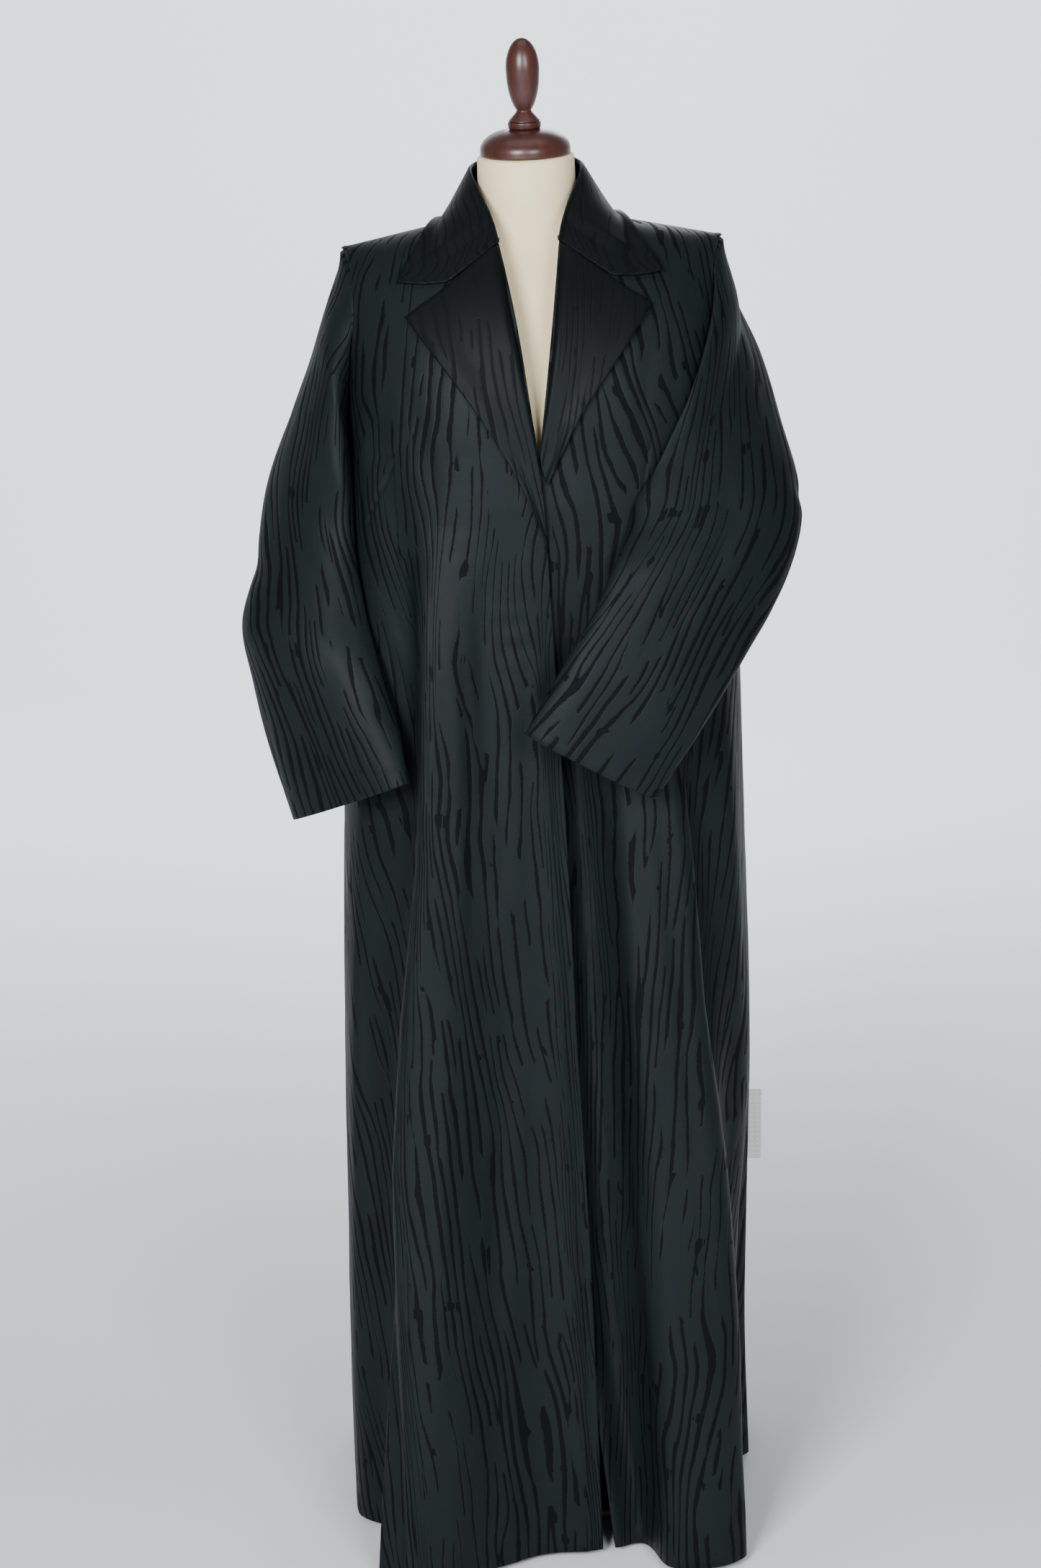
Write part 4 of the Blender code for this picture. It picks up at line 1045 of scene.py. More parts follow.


# Creases listed over x and z, in front and behind
FRONT_CREASES = rows(
    Crease,
    ((-0.012, 1.035), (-0.034, 1.028), (-0.06, 1.036), 0.007, 0.0011),
    ((-0.01, 1.012), (-0.03, 1.004), (-0.056, 1.01), 0.007, 0.0012),
    ((-0.01, 0.986), (-0.028, 0.978), (-0.05, 0.984), 0.007, 0.001),
    ((0.164, 1.352), (0.18, 1.346), (0.196, 1.35), 0.006, 0.0016),
    ((0.16, 1.322), (0.178, 1.314), (0.194, 1.32), 0.006, 0.0018),
    ((0.16, 1.29), (0.178, 1.284), (0.192, 1.29), 0.006, 0.0014),
    ((-0.196, 1.34), (-0.18, 1.334), (-0.162, 1.34), 0.006, 0.0016),
    ((-0.194, 1.308), (-0.178, 1.302), (-0.16, 1.308), 0.006, 0.0016),
    ((-0.146, 1.3), (-0.12, 1.24), (-0.105, 1.15), 0.016, -0.0022),
    ((-0.183, 1.2), (-0.15, 1.185), (-0.118, 1.2), 0.012, -0.002),
    ((-0.06, 1.08), (-0.066, 0.96), (-0.058, 0.82), 0.02, -0.003),
    ((-0.095, 1.02), (-0.09, 0.86), (-0.1, 0.66), 0.014, 0.0026),
    ((-0.03, 1.02), (-0.04, 0.9), (-0.034, 0.7), 0.016, 0.0022),
    ((-0.045, 0.7), (-0.055, 0.5), (-0.075, 0.25), 0.022, -0.004),
    ((-0.12, 0.64), (-0.125, 0.42), (-0.15, 0.12), 0.02, 0.004),
    ((-0.205, 0.82), (-0.212, 0.56), (-0.218, 0.26), 0.014, -0.0035),
    ((0.03, 1.0), (0.036, 0.86), (0.03, 0.7), 0.018, -0.0028),
    ((0.07, 0.84), (0.078, 0.64), (0.1, 0.38), 0.02, 0.0036),
    ((0.11, 0.9), (0.125, 0.7), (0.14, 0.45), 0.016, -0.0034),
    ((0.15, 0.56), (0.16, 0.38), (0.176, 0.12), 0.018, 0.0036),
    ((0.06, 0.5), (0.066, 0.3), (0.084, 0.08), 0.018, -0.0036),
    ((0.13, 1.33), (0.115, 1.27), (0.108, 1.2), 0.015, -0.0018),
    ((0.19, 1.0), (0.196, 0.8), (0.2, 0.52), 0.014, 0.003))
BACK_CREASES = rows(
    Crease,
    ((-0.15, 1.33), (-0.12, 1.26), (-0.112, 1.14), 0.018, -0.0024),
    ((0.154, 1.32), (0.126, 1.24), (0.12, 1.12), 0.018, -0.0024),
    ((-0.06, 1.16), (-0.064, 0.98), (-0.056, 0.76), 0.02, -0.0034),
    ((0.034, 1.12), (0.04, 0.93), (0.036, 0.68), 0.02, 0.0034),
    ((0.08, 1.02), (0.086, 0.82), (0.096, 0.52), 0.018, -0.004),
    ((-0.1, 0.92), (-0.11, 0.7), (-0.128, 0.38), 0.02, 0.004),
    ((-0.02, 0.76), (-0.014, 0.52), (-0.022, 0.2), 0.022, -0.0044),
    ((0.14, 0.78), (0.148, 0.54), (0.166, 0.2), 0.018, 0.004),
    ((-0.17, 0.8), (-0.18, 0.56), (-0.19, 0.24), 0.016, -0.0036),
    ((0.05, 0.42), (0.058, 0.26), (0.07, 0.07), 0.016, 0.0036))
# Long pleats of the fronts: one from the bust dart, one from the wearer's left bust, the closed edge
RIGHT_PLEATS = rows(
    Pleat,
    (((0.0, -0.164), (0.27, -0.172), (0.44, -0.173), (0.61, -0.158), (0.77, -0.134), (0.94, -0.123),
           (1.15, -0.108)), 0.02, 0.06, 0.007, 1.19, 0.96, 0.066, 0.012),
    (((0.0, -0.196), (0.44, -0.193), (0.6, -0.178), (0.77, -0.154), (0.86, -0.147), (1.14, -0.146)),
          0.045, 0.02, -0.012, 1.19, 0.98),
    (((0.05, 0.022), (0.35, 0.01), (0.68, 0.006), (1.1, 0.001)), 0.045, 0.02, 0.004, 1.12, 0.9,
          0.045, 0.014),
    (((0.0, -0.092), (0.4, -0.08), (0.8, -0.062), (1.0, -0.052)), 0.04, 0.03, -0.0045, 0.95, 0.6))
LEFT_PLEATS = rows(
    Pleat,
    (((0.0, 0.054), (0.18, 0.048), (0.35, 0.041), (0.68, 0.036), (0.85, 0.032), (1.1, 0.025)),
          0.027, 0.05, -0.027, 1.12, 0.72, 0.06, 0.02),
    (((0.05, 0.175), (0.27, 0.171), (0.42, 0.166), (0.61, 0.148), (0.73, 0.142), (0.95, 0.13)),
          0.055, 0.015, 0.008, 1.0, 0.76),
    (((0.05, 0.198), (0.27, 0.194), (0.42, 0.189), (0.61, 0.17), (0.73, 0.164), (0.95, 0.152)),
          0.018, 0.038, -0.019, 1.0, 0.76, 0.03, 0.016),
    (((0.0, 0.108), (0.4, 0.102), (0.8, 0.092), (1.0, 0.086)), 0.026, 0.026, 0.004, 0.9, 0.6))
# Bust darts, each a stitched line, and the hollow of the front beside the sleeve
DARTS = rows(
    Crease,
    ((-0.186, 1.11), (-0.166, 1.165), (-0.138, 1.216), 0.003, -0.002),
    ((-0.17, 1.25), (-0.152, 1.17), (-0.14, 1.08), 0.026, -0.005),
    ((0.107, 1.148), (0.114, 1.188), (0.124, 1.222), 0.003, -0.0016))
PLEATS = {Edge.UPPER: RIGHT_PLEATS, Edge.LOWER: LEFT_PLEATS}


def pucker(u: Grid, v: Grid, seed: int) -> Grid:
    """Small uneven swells of the drawn-in cloth, in metres, from its grain coordinates."""
    slow = soft_noise(u / 0.030, v / 0.110, seed)
    quick = soft_noise(u / 0.012, v / 0.045, seed + 7)
    return 0.0007 * slow + 0.0004 * quick


def hem_step(away: Grid) -> Grid:
    """The faint step of a hem's turning, at a distance from the hem's edge."""
    return 0.0004 * mark(away - HEM_WIDTH, 0.0022)


@dataclass(frozen=True)
class Panel:
    """A front or the back of the cloak, from hem to shoulder."""

    name: str
    facing: Facing
    edge: Edge | None
    cut: Cut
    columns: int
    seed: int
    garment: Garment
    slant: float = 0.0
    slant_top: float = 0.86
    slant_bend: float = 0.12
    thickness: float = 0.9 * MM

    def spans(self, z: float, share: float) -> tuple[float, float]:
        """First and last angle of a row, from its height and its share of the armhole."""
        turn = self.garment.armhole_angle(self.facing.value, share) if share > 0 else 90.0
        if self.edge is None:
            return -turn, turn
        level = min(z, self.garment.armpit_z)
        x = self.garment.edge_x(self.edge, z)
        if share >= 1:
            x = -self.garment.gorge_x if self.edge is Edge.UPPER else self.garment.gorge_x
        inner = float(self.garment.angle_at(x, level))
        return (-turn, inner) if self.edge is Edge.UPPER else (inner, turn)

    def relief(self, grid: Grid, u: Grid, v: Grid) -> Grid:
        """Creases, puckers and seams, as moves along the normal.

        Args:
            grid: The panel's points.
            u: Distance across the grain.
            v: Distance along the grain.

        Returns:
            The moves in metres.
        """
        x, z = grid[..., 0], grid[..., 2]
        total = pucker(u, v, self.seed)
        creases = BACK_CREASES if self.facing is Facing.BACK else FRONT_CREASES
        for crease in creases:
            total = total + crease.height(x, z)
        across = run_length(grid, 1)
        edge_away = np.minimum(across, across[:, -1:] - across)
        fade = ease(edge_away / 0.022)
        if self.edge is not None:
            for fold in DARTS + PLEATS[self.edge]:
                total = total + fold.height(x, z)
            cover = np.abs(x) < 0.150
            fade = fade * np.where((z > 1.09) & cover, 0.45, 1.0)
        run = run_length(grid, 0)
        total = total * fade * ease((run[-1:] - run) / 0.020)
        # The armhole's turned seam stands as a low ridge on the body's side
        upper = z > self.garment.armpit_z
        ridge = 0.0009 * mark(edge_away - 0.004, 0.0028) - 0.0006 * mark(edge_away, 0.0016)
        total = total + ridge * upper * self.armhole_side(across)
        return total - hem_step(v)

    def armhole_side(self, across: Grid) -> Grid:
        """1 on the half of each row that ends at an armhole."""
        share = across / np.maximum(across[:, -1:], 1e-6)
        if self.edge is Edge.UPPER:
            return (share < 0.5) * 1.0
        if self.edge is Edge.LOWER:
            return (share > 0.5) * 1.0
        return np.ones_like(share)

    def build(self, look: Material) -> Object:
        """Makes and dresses the panel."""
        facing = self.facing.value
        grid = self.garment.panel_grid(facing, self.spans, self.columns)
        normals = -facing * grid_normals(grid)
        if self.edge is Edge.LOWER:
            grid = grid - normals * self.garment.under_drop(grid[..., 0], grid[..., 2])[..., None]
        across = run_length(grid, 1)
        if self.edge is Edge.UPPER:
            u = grid[:, -1:, 0] + across - across[:, -1:]
        elif self.edge is Edge.LOWER:
            u = grid[:, :1, 0] + across + 0.6
        else:
            u = across - across[:, -1:] / 2 + 1.4
        v = run_length(grid, 0)
        if self.edge is not None:
            for pleat in PLEATS[self.edge]:
                u = u + pleat.taken_up(grid[..., 0], grid[..., 2])
            low = np.maximum(self.slant_top - grid[..., 2], 0.0)
            u = u - self.slant * low * ease(low / self.slant_bend)
        outer = self.garment.on_own_side(grid + normals * self.relief(grid, u, v)[..., None], facing)
        inner = self.garment.on_own_side(outer + grid_normals(outer) * facing * self.thickness, facing)
        grain = np.stack([u, v, np.ones_like(u)], -1)
        piece = shell(f"{self.name}_cloth", outer, inner, grain, look, flip=self.facing is Facing.BACK)
        dress(piece, self.name)
        return piece


@dataclass(frozen=True)
class Lapel:
    """A lapel that lies on its front, from its break to its top edge."""

    name: str
    hand: Hand
    edge: Edge
    outline: tuple[EdgePoint, ...]
    cut: Cut
    garment: Garment
    rows: int = 76
    columns: int = 34
    thickness: float = 1.3 * MM
    rest: float = 0.0031
    roll: float = 0.0045
    roll_place: float = 0.12
    roll_width: float = 0.050
    edge_lift: float = 0.0042
    lift_from: float = 0.6
    stitch_inset: float = 0.006
    start: float = 0.018
    gorge_clear: float = 0.0006
    under_clear: float = 0.0020

    def build(self, look: Material) -> Object:
        """Makes and dresses the lapel."""
        garment, side = self.garment, self.hand.value
        share = np.linspace(0.0, 1.0, self.rows)
        edge_z = [point.z for point in self.outline]
        wanted_z = edge_z[0] + (edge_z[-1] - edge_z[0]) * share
        edge_x = smooth_value(edge_z, [point.x for point in self.outline], wanted_z)
        first = edge_z[0] + self.start
        roll_z = first + (garment.gorge_z - self.gorge_clear - first) * share
        roll_x = garment.edge_x(self.edge, roll_z)
        if self.hand is Hand.LEFT:
            cover = garment.edge_x(Edge.UPPER, roll_z) + self.under_clear
            roll_x = np.minimum(np.maximum(roll_x, cover), edge_x - self.under_clear)
        across = np.linspace(0.0, 1.0, self.columns)
        x = roll_x[:, None] + (edge_x - roll_x)[:, None] * across
        z = roll_z[:, None] + (wanted_z - roll_z)[:, None] * across
        base = np.stack([x, garment.surface_y(x, z), z], -1)
        normals = self.front_normals(x, z)
        bulge = np.sin(np.pi * np.clip(across / self.roll_place, 0, 1) / 2) * (1 - across) ** 1.5
        grown = ease(np.abs(edge_x - roll_x) / self.roll_width)
        height = self.rest + self.roll * bulge[None, :] * grown[:, None]
        if self.hand is Hand.LEFT:
            height = height - garment.under_drop(x, z)
        u = run_length(base, 1)
        v = run_length(base, 0)
        height = height + self.edge_lift * ease((across[None] - self.lift_from) / (1.0 - self.lift_from))
        height = height + 0.0004 * soft_noise(u / 0.03, v / 0.06, 31)
        height = height - 0.0004 * mark(u - u[:, -1:] + self.stitch_inset, 0.0016)
        outer = base + normals * height[..., None]
        inner = outer - normals * self.thickness
        bold = np.clip(1.18 - (z - 1.13) / 0.17, 0.10, 1.0)
        grain = np.stack([u + 2.3 + 0.5 * side, v, bold], -1)
        piece = shell(f"{self.name}_cloth", outer, inner, grain, look, flip=self.hand is Hand.RIGHT)
        dress(piece, self.name)
        return piece

    def front_normals(self, x: Grid, z: Grid, step: float = 0.004) -> Grid:
        """Unit normals of the garment's front over points x, z, from its slopes."""
        slope_x = (self.garment.surface_y(x + step, z) - self.garment.surface_y(x - step, z)) / (2 * step)
        slope_z = (self.garment.surface_y(x, z + step) - self.garment.surface_y(x, z - step)) / (2 * step)
        return unit(np.stack([slope_x, -np.ones_like(x), slope_z], -1))


@dataclass(frozen=True)
class Collar:
    """The notched collar: a stand round the neck that rolls over into its fall."""

    garment: Garment
    cut: Cut
    name: str = "collar"
    stations: int = 121
    thickness: float = 1.3 * MM
    gap: float = 0.0021
    rest: float = 0.0042
    fall_points: int = 26
    stand_points: int = 8
    notch_y: float = -0.095
    edge_lift: float = 0.0024
    lift_from: float = 0.7
    foot_inset: float = 0.0055
    roll_turns: tuple[float, float] = (36.0, 66.0)
    roundness: float = 0.4

    def rows(self) -> dict[str, Grid]:
        """The collar table at even stations from the -X gorge to the +X gorge."""
        places = np.linspace(-1.0, 1.0, 2 * len(COLLAR) - 1)
        values = {}
        for column in CollarRow._fields:
            half = [getattr(row, column) for row in COLLAR]
            sign = 1.0 if column.endswith(("y", "z")) else -1.0
            values[column] = smooth_value(places, [sign * v for v in half] + half[-2::-1],
                                          np.linspace(-1.0, 1.0, self.stations))
        return values

    def foot(self, roll_x: Grid, roll_y: Grid) -> Grid:
        """Where the stand meets the neckline, just inside the panels."""
        garment, lines = self.garment, []
        for facing in (-1, 1):
            x = np.linspace(-garment.neck_point_x, garment.neck_point_x, 1600)
            x = x[np.abs(x) >= (garment.gorge_x if facing < 0 else 0.0)]
            lines.append(np.stack([x, facing * garment.neckline_y(facing, x)], -1))
        line = np.concatenate(lines)
        away = np.arctan2(line[:, 1], line[:, 0])[None] - np.arctan2(roll_y, roll_x)[:, None]
        feet = line[np.argmin(np.abs(np.angle(np.exp(1j * away))), axis=1)]
        feet = feet * (1 - self.foot_inset / np.linalg.norm(feet, axis=1))[:, None]
        return np.column_stack([feet, garment.surface_z(feet[:, 0], feet[:, 1]) - self.gap])

    def build(self, look: Material) -> Object:
        """Makes and dresses the collar."""
        rows, garment = self.rows(), self.garment
        roll = np.column_stack([rows["roll_x"], rows["roll_y"], rows["roll_z"]])
        edge = np.column_stack([rows["edge_x"], rows["edge_y"],
                                garment.surface_z(rows["edge_x"], rows["edge_y"])])
        middle = np.column_stack([rows["middle_x"], rows["middle_y"],
                                  garment.surface_z(rows["middle_x"], rows["middle_y"])])
        foot = self.foot(rows["roll_x"], rows["roll_y"])
        inward = unit(-roll * np.array([1.0, 1.0, 0.0]))
        up = np.array([0.0, 0.0, 1.0])
        stand_top = roll + (inward - up) * self.gap
        fall_top = roll - (inward + up) * self.gap
        lines = [foot + (stand_top - foot) * t for t in np.linspace(0.0, 1.0, self.stand_points)]
        turns = np.radians(self.roll_turns)
        lines += [roll + (inward * math.cos(a) + up * (math.sin(a) - 1)) * self.gap for a in turns]
        lines += [roll]
        lines += [roll - (inward * math.cos(a) - up * (math.sin(a) - 1)) * self.gap for a in turns[::-1]]
        lines += [fall_top]
        straight = (fall_top + edge) / 2
        lowest = np.where(rows["middle_y"] > self.notch_y, straight[:, 2], 0.0)
        middle[:, 2] = np.maximum(middle[:, 2], lowest)
        for share in np.linspace(0.0, 1.0, self.fall_points)[1:]:
            # A smooth run through the fall's top, its middle and its edge
            near = fall_top * (1 - share) * (1 - 2 * share) + middle * 4 * share * (1 - share)
            curve = near + edge * share * (2 * share - 1)
            bent = fall_top + (middle - fall_top) * min(2 * share, 1.0)
            bent = bent + (edge - middle) * max(2 * share - 1.0, 0.0)
            lift = self.edge_lift * float(ease((share - self.lift_from) / (1.0 - self.lift_from)))
            mixed = curve * self.roundness + bent * (1.0 - self.roundness)
            lines.append(garment.lifted_clear(mixed, self.rest + lift))
        centre = np.stack(lines, 1)
        normals = grid_normals(centre)
        u, v = run_length(centre, 0), run_length(centre, 1)
        u = u[:, self.stand_points:self.stand_points + 1] + 0 * v
        relief = 0.0004 * soft_noise(u / 0.03, v / 0.03, 41) * ease(v / 0.05)
        centre = centre + normals * relief[..., None]
        outer, inner = centre + normals * self.thickness / 2, centre - normals * self.thickness / 2
        grain = np.stack([v + 3.7, u, np.full_like(u, 0.22)], -1)
        piece = shell(f"{self.name}_cloth", outer, inner, grain, look, flip=False)
        dress(piece, self.name)
        return piece


@dataclass(frozen=True)
class Sleeve:
    """A wide sleeve from its armhole to its cuff."""

    name: str
    hand: Hand
    table: tuple[SleeveRow, ...]
    creases: tuple[Crease, ...]
    cut: Cut
    seed: int
    garment: Garment
    rings: int = 132
    around: int = 120
    thickness: float = 0.9 * MM
    blend: float = 0.20
    inset: float = 0.0014
    tuck: float = 0.0035
    clearance: float = 0.0010
    spread: float = 0.16
    flattest: float = 0.0160

    def head(self, turns: Grid) -> Grid:
        """The armhole's own edge, from the armpit over the front to the top and down the back."""
        garment, side = self.garment, self.hand.value
        points = []
        for angle in turns:
            facing = -1 if angle < 90.0 else 1
            rise = float(garment.armhole_rises(min(angle, 180.0 - angle)))
            turn = side * garment.armhole_angle(facing, rise / 90.0)
            points.append(garment.cloth_point(facing, turn, garment.armpit_z, rise))
        loop = np.array(points)
        return loop + unit(loop.mean(axis=0) - loop) * self.inset - np.array([side * self.tuck, 0.0, 0.0])

    def outside_body(self, points: Grid, clearance: Grid) -> Grid:
        """Sleeve points moved straight out from the form's axis until they clear the cloth.

        Args:
            points: The sleeve's points.
            clearance: The space to keep at each point.

        Returns:
            The moved points.
        """
        moved = points.copy()
        known: dict[int, tuple[Grid, Grid]] = {}
        for index in np.ndindex(points.shape[:-1]):
            x, y, z = points[index]
            if z > self.garment.tip_z - self.clearance:
                continue
            level = round(z / 0.001)
            if level not in known:
                known[level] = self.garment.body_ring(level * 0.001)
            turn, radius = known[level]
            wanted = np.interp(math.atan2(y, x), turn, radius, period=2 * np.pi) + clearance[index]
            scale = max(1.0, wanted / math.hypot(x, y))
            moved[index] = (x * scale, y * scale, z)
        return moved

    def build(self, look: Material) -> Object:
        """Makes and dresses the sleeve."""
        turns = np.linspace(-90.0, 270.0, self.around + 1)
        turn = np.radians(turns)
        shares = np.linspace(0.0, 1.0, self.rings)
        places = np.linspace(0.0, 1.0, len(self.table))
        column = {name: smooth_value(places, [getattr(row, name) for row in self.table], shares)
                  for name in SleeveRow._fields}
        centre, outer, front = (np.stack([column[a + k] for k in "xyz"], -1) for a in "cof")
        rings = centre[:, None] + front[:, None] * np.cos(turn)[None, :, None]
        rings = rings + outer[:, None] * np.sin(turn)[None, :, None]
        leave = 1.0 - ease(shares / self.blend)
        rings = rings + (self.head(turns) - rings[0])[None] * leave[:, None, None]
        spread = self.flattest * (0.5 + 0.5 * np.sin(turn))
        clearance = ease(shares / self.spread)[:, None] * spread + self.clearance
        rings[1:] = self.outside_body(rings[1:], clearance[1:])
        side = 1.0 if self.hand is Hand.RIGHT else -1.0
        normals = grid_normals(np.concatenate([rings[:, -2:-1], rings, rings[:, 1:2]], 1))[:, 1:-1] * side
        u, v = run_length(rings, 1), run_length(rings, 0)
        v = v.mean(axis=1, keepdims=True) + 0 * u
        relief = pucker(u, v, self.seed) * np.minimum(ease(u / 0.02), ease((u[:, -1:] - u) / 0.02))
        for crease in self.creases:
            relief = relief + crease.height(turns[None] / 360.0 + 0 * u, shares[:, None] + 0 * u)
        relief = relief * ease(shares / 0.06)[:, None]
        outside = rings + normals * (relief - hem_step(v[-1:] - v))[..., None]
        inside = outside - normals * self.thickness
        u = (u - u[:, -1:] / 2) + u[:, -1:].mean() / 2
        grain = np.stack([u + 4.0 + 0.5 * side, -v, np.ones_like(u)], -1)
        piece = shell(f"{self.name}_cloth", outside, inside, grain, look, flip=self.hand is Hand.LEFT)
        dress(piece, self.name)
        return piece


@dataclass(frozen=True)
class SideLabel:
    """The bare tape sewn into the wearer's left side seam."""

    cut: Cut
    name: str = "side_label"
    width: float = 0.0140
    height: float = 0.0820
    top_z: float = 0.452
    thickness: float = 0.6 * MM
    lean: float = 0.12
    curl: float = 0.0012

    def build(self, look: Material) -> Object:
        """Makes and dresses the label."""
        z = np.linspace(self.top_z - self.height, self.top_z, 40)
        share = np.linspace(0.0, 1.0, 12)
        seam_x = table_value(SECTIONS, "right", z) - 0.0004
        x = seam_x[:, None] + (self.width + 0.0010) * share
        wave = np.sin(np.pi * (z - z[0]) / self.height)[:, None] * share ** 2
        y = -0.0015 - self.width * self.lean * share[None, :] - self.curl * wave
        grid = np.stack([x, y + 0 * x, z[:, None] + 0 * x], -1)
        normals = grid_normals(grid)
        grain = np.stack([share[None] * self.width + 0 * x, z[:, None] + 0 * x, 0 * x], -1)
        half = normals * self.thickness / 2
        piece = shell(f"{self.name}_cloth", grid + half, grid - half, grain, look, flip=False)
        dress(piece, self.name)
        return piece


def corner(radius: float, z: float) -> Arc:
    """A single point of a turned profile."""
    return Arc(radius, z, 0.0, 0.0, 0.0, 0.0, 1)


@dataclass(frozen=True)
class TurnedPiece:
    """A piece turned on the lathe, from its profile listed from the top down."""

    name: str
    profile: tuple[Arc, ...]
    seat: float = 0.0
    tilt: float = 0.0
    tilt_z: float = 0.0
    steps: int = 96
    round_edge: float = 0.0005
    sharp_from: float = 35.0

    def build(self, look: Material) -> Object:
        """Makes and dresses the turned piece."""
        line = []
        for bend in self.profile:
            for angle in np.radians(np.linspace(bend.first, bend.last, max(1, 3 * bend.points - 2))):
                line.append((bend.centre_r + bend.size_r * math.cos(angle),
                             self.seat + bend.centre_z + bend.size_z * math.sin(angle)))
        line = [p for k, p in enumerate(line) if k == 0 or math.dist(p, line[k - 1]) > 1e-6]
        angles = np.linspace(0.0, 2 * np.pi, self.steps, endpoint=False)
        rings = np.array([[(r * math.cos(a), r * math.sin(a), z) for a in angles] for r, z in line[1:-1]])
        piece = link_mesh(self.name, *capped_rings(rings, line[0][1], line[-1][1]), look)
        piece.data.set_sharp_from_angle(angle=math.radians(self.sharp_from))
        piece.matrix_world = (Matrix.Translation((0, 0, self.tilt_z))
                              @ Matrix.Rotation(math.radians(self.tilt), 4, "X"))
        bevel = piece.modifiers.new("worn_edges", "BEVEL")
        bevel.width = self.round_edge
        bevel.segments = 2
        bevel.limit_method = "ANGLE"
        bevel.angle_limit = math.radians(self.sharp_from)
        dress(piece, self.name)
        return piece


@dataclass(frozen=True)
class DressForm:
    """The limbless body in jersey, with its turned cap, ring and finial."""

    bottom_z: float = 0.700
    chest_z: float = 1.38
    neck_foot_z: float = 1.4310
    neck_top_z: float = 1.4965
    neck_tilt: float = 8.0
    neck_radius: float = 0.0515
    shoulder_z: float = 1.4272
    fall: float = 0.0090
    hollow: float = 0.0120
    touch: float = 0.0003
    sides: int = 128
    cap_height: float = 0.0270
    ring_height: float = 0.0070

    def column(self, name: str, z: Grid) -> Grid:
        """A column of the ring table, joined by curves that don't swing past its values."""
        xs = np.array([row.z for row in FORM_RINGS])
        ys = np.array([getattr(row, name) for row in FORM_RINGS])
        step = np.diff(ys) / np.diff(xs)
        slopes = np.zeros(len(xs))
        same = step[1:] * step[:-1] > 0
        slopes[1:-1][same] = 2 * step[1:][same] * step[:-1][same] / (step[1:] + step[:-1])[same]
        return cubic(xs, ys, slopes, z)

    def torso(self, look: Material) -> Object:
        """Makes and dresses the body."""
        levels = np.concatenate([np.linspace(self.bottom_z, self.chest_z, 90),
                                 np.linspace(self.chest_z + 0.003, self.neck_top_z, 60)])
        turn = np.linspace(0.0, 2 * np.pi, self.sides, endpoint=False)
        cosine, sine = np.cos(turn)[None], np.sin(turn)[None]
        half, front, back, square = (self.column(name, levels)[:, None]
                                     for name in ("half", "front", "back", "square"))
        depth = np.where(sine < 0, front, back)
        power = -1.0 / square
        radius = (np.abs(cosine / half) ** square + np.abs(sine / depth) ** square) ** power
        # The neck's round column stands up through the shoulders and runs into the chest in a soft hollow
        below = np.searchsorted(levels, (self.shoulder_z - self.fall, self.shoulder_z))
        slope = (radius[below[1]] - radius[below[0]]) / (levels[below[1]] - levels[below[0]])
        body = np.where(levels[:, None] > levels[below[1]],
                        radius[below[1]] + slope * (levels[:, None] - levels[below[1]]), radius)
        neck = np.where(levels[:, None] > self.shoulder_z, radius, self.neck_radius)
        near = np.maximum(0.0, 1.0 - np.abs(body - neck) / self.hollow)
        fill = self.hollow / 4 * near ** 2 * ease((-sine - 0.30) / 0.45)
        radius = np.maximum(radius, neck * ease((levels[:, None] - 1.385) / 0.03)) + fill
        x, y = radius * cosine, radius * sine
        lean = ease((levels - self.neck_foot_z) / (self.neck_top_z - self.neck_foot_z))[:, None]
        tilt = math.tan(math.radians(self.neck_tilt))
        rings = np.stack([x, y, levels[:, None] + y * tilt * lean], -1)
        # The jersey turns in over the neck's top edge
        top_x, top_y = x[-1], y[-1]
        turned_in = [np.stack([top_x * s, top_y * s, self.neck_top_z + top_y * s * tilt - drop], -1)
                     for s, drop in ((0.985, 0.0012), (0.955, 0.0))]
        rings = np.concatenate([rings[:-1], turned_in])
        body = capped_rings(rings[::-1], self.neck_top_z, self.bottom_z)
        piece = link_mesh("form_torso_jersey", *body, look)
        piece.data.set_sharp_from_angle(angle=math.radians(60.0))
        dress(piece, "form_torso")
        return piece

    def turned(self) -> list[TurnedPiece]:
        """The turned pieces on the neck, from the cap up."""
        cap = (corner(0.0, self.cap_height), Arc(0.0120, 0.0060, 0.0360, 0.0210, 90, 0, 7),
               corner(0.0480, 0.0015), corner(0.0465, 0.0), corner(0.0, 0.0))
        height = self.ring_height
        ring = (corner(0.0, height), corner(0.0170, height), corner(0.0176, height - 0.0008),
                corner(0.0176, 0.0022), corner(0.0166, 0.0), corner(0.0, 0.0))
        finial = (corner(0.0, 0.0855), Arc(0.0, 0.0540, 0.0178, 0.0315, 78, 0, 5),
                  Arc(0.0, 0.0540, 0.0178, 0.0474, -16, -64, 5), corner(0.0084, 0.0095),
                  corner(0.0165, 0.0010), corner(0.0165, 0.0), corner(0.0, 0.0))
        seats = [self.touch]
        seats.append(seats[0] + self.cap_height + self.touch)
        seats.append(seats[1] + height + self.touch)
        names = ("form_neck_cap", "form_ring", "form_finial")
        return [TurnedPiece(name, profile, seat, self.neck_tilt, self.neck_top_z)
                for name, profile, seat in zip(names, (cap, ring, finial), seats)]


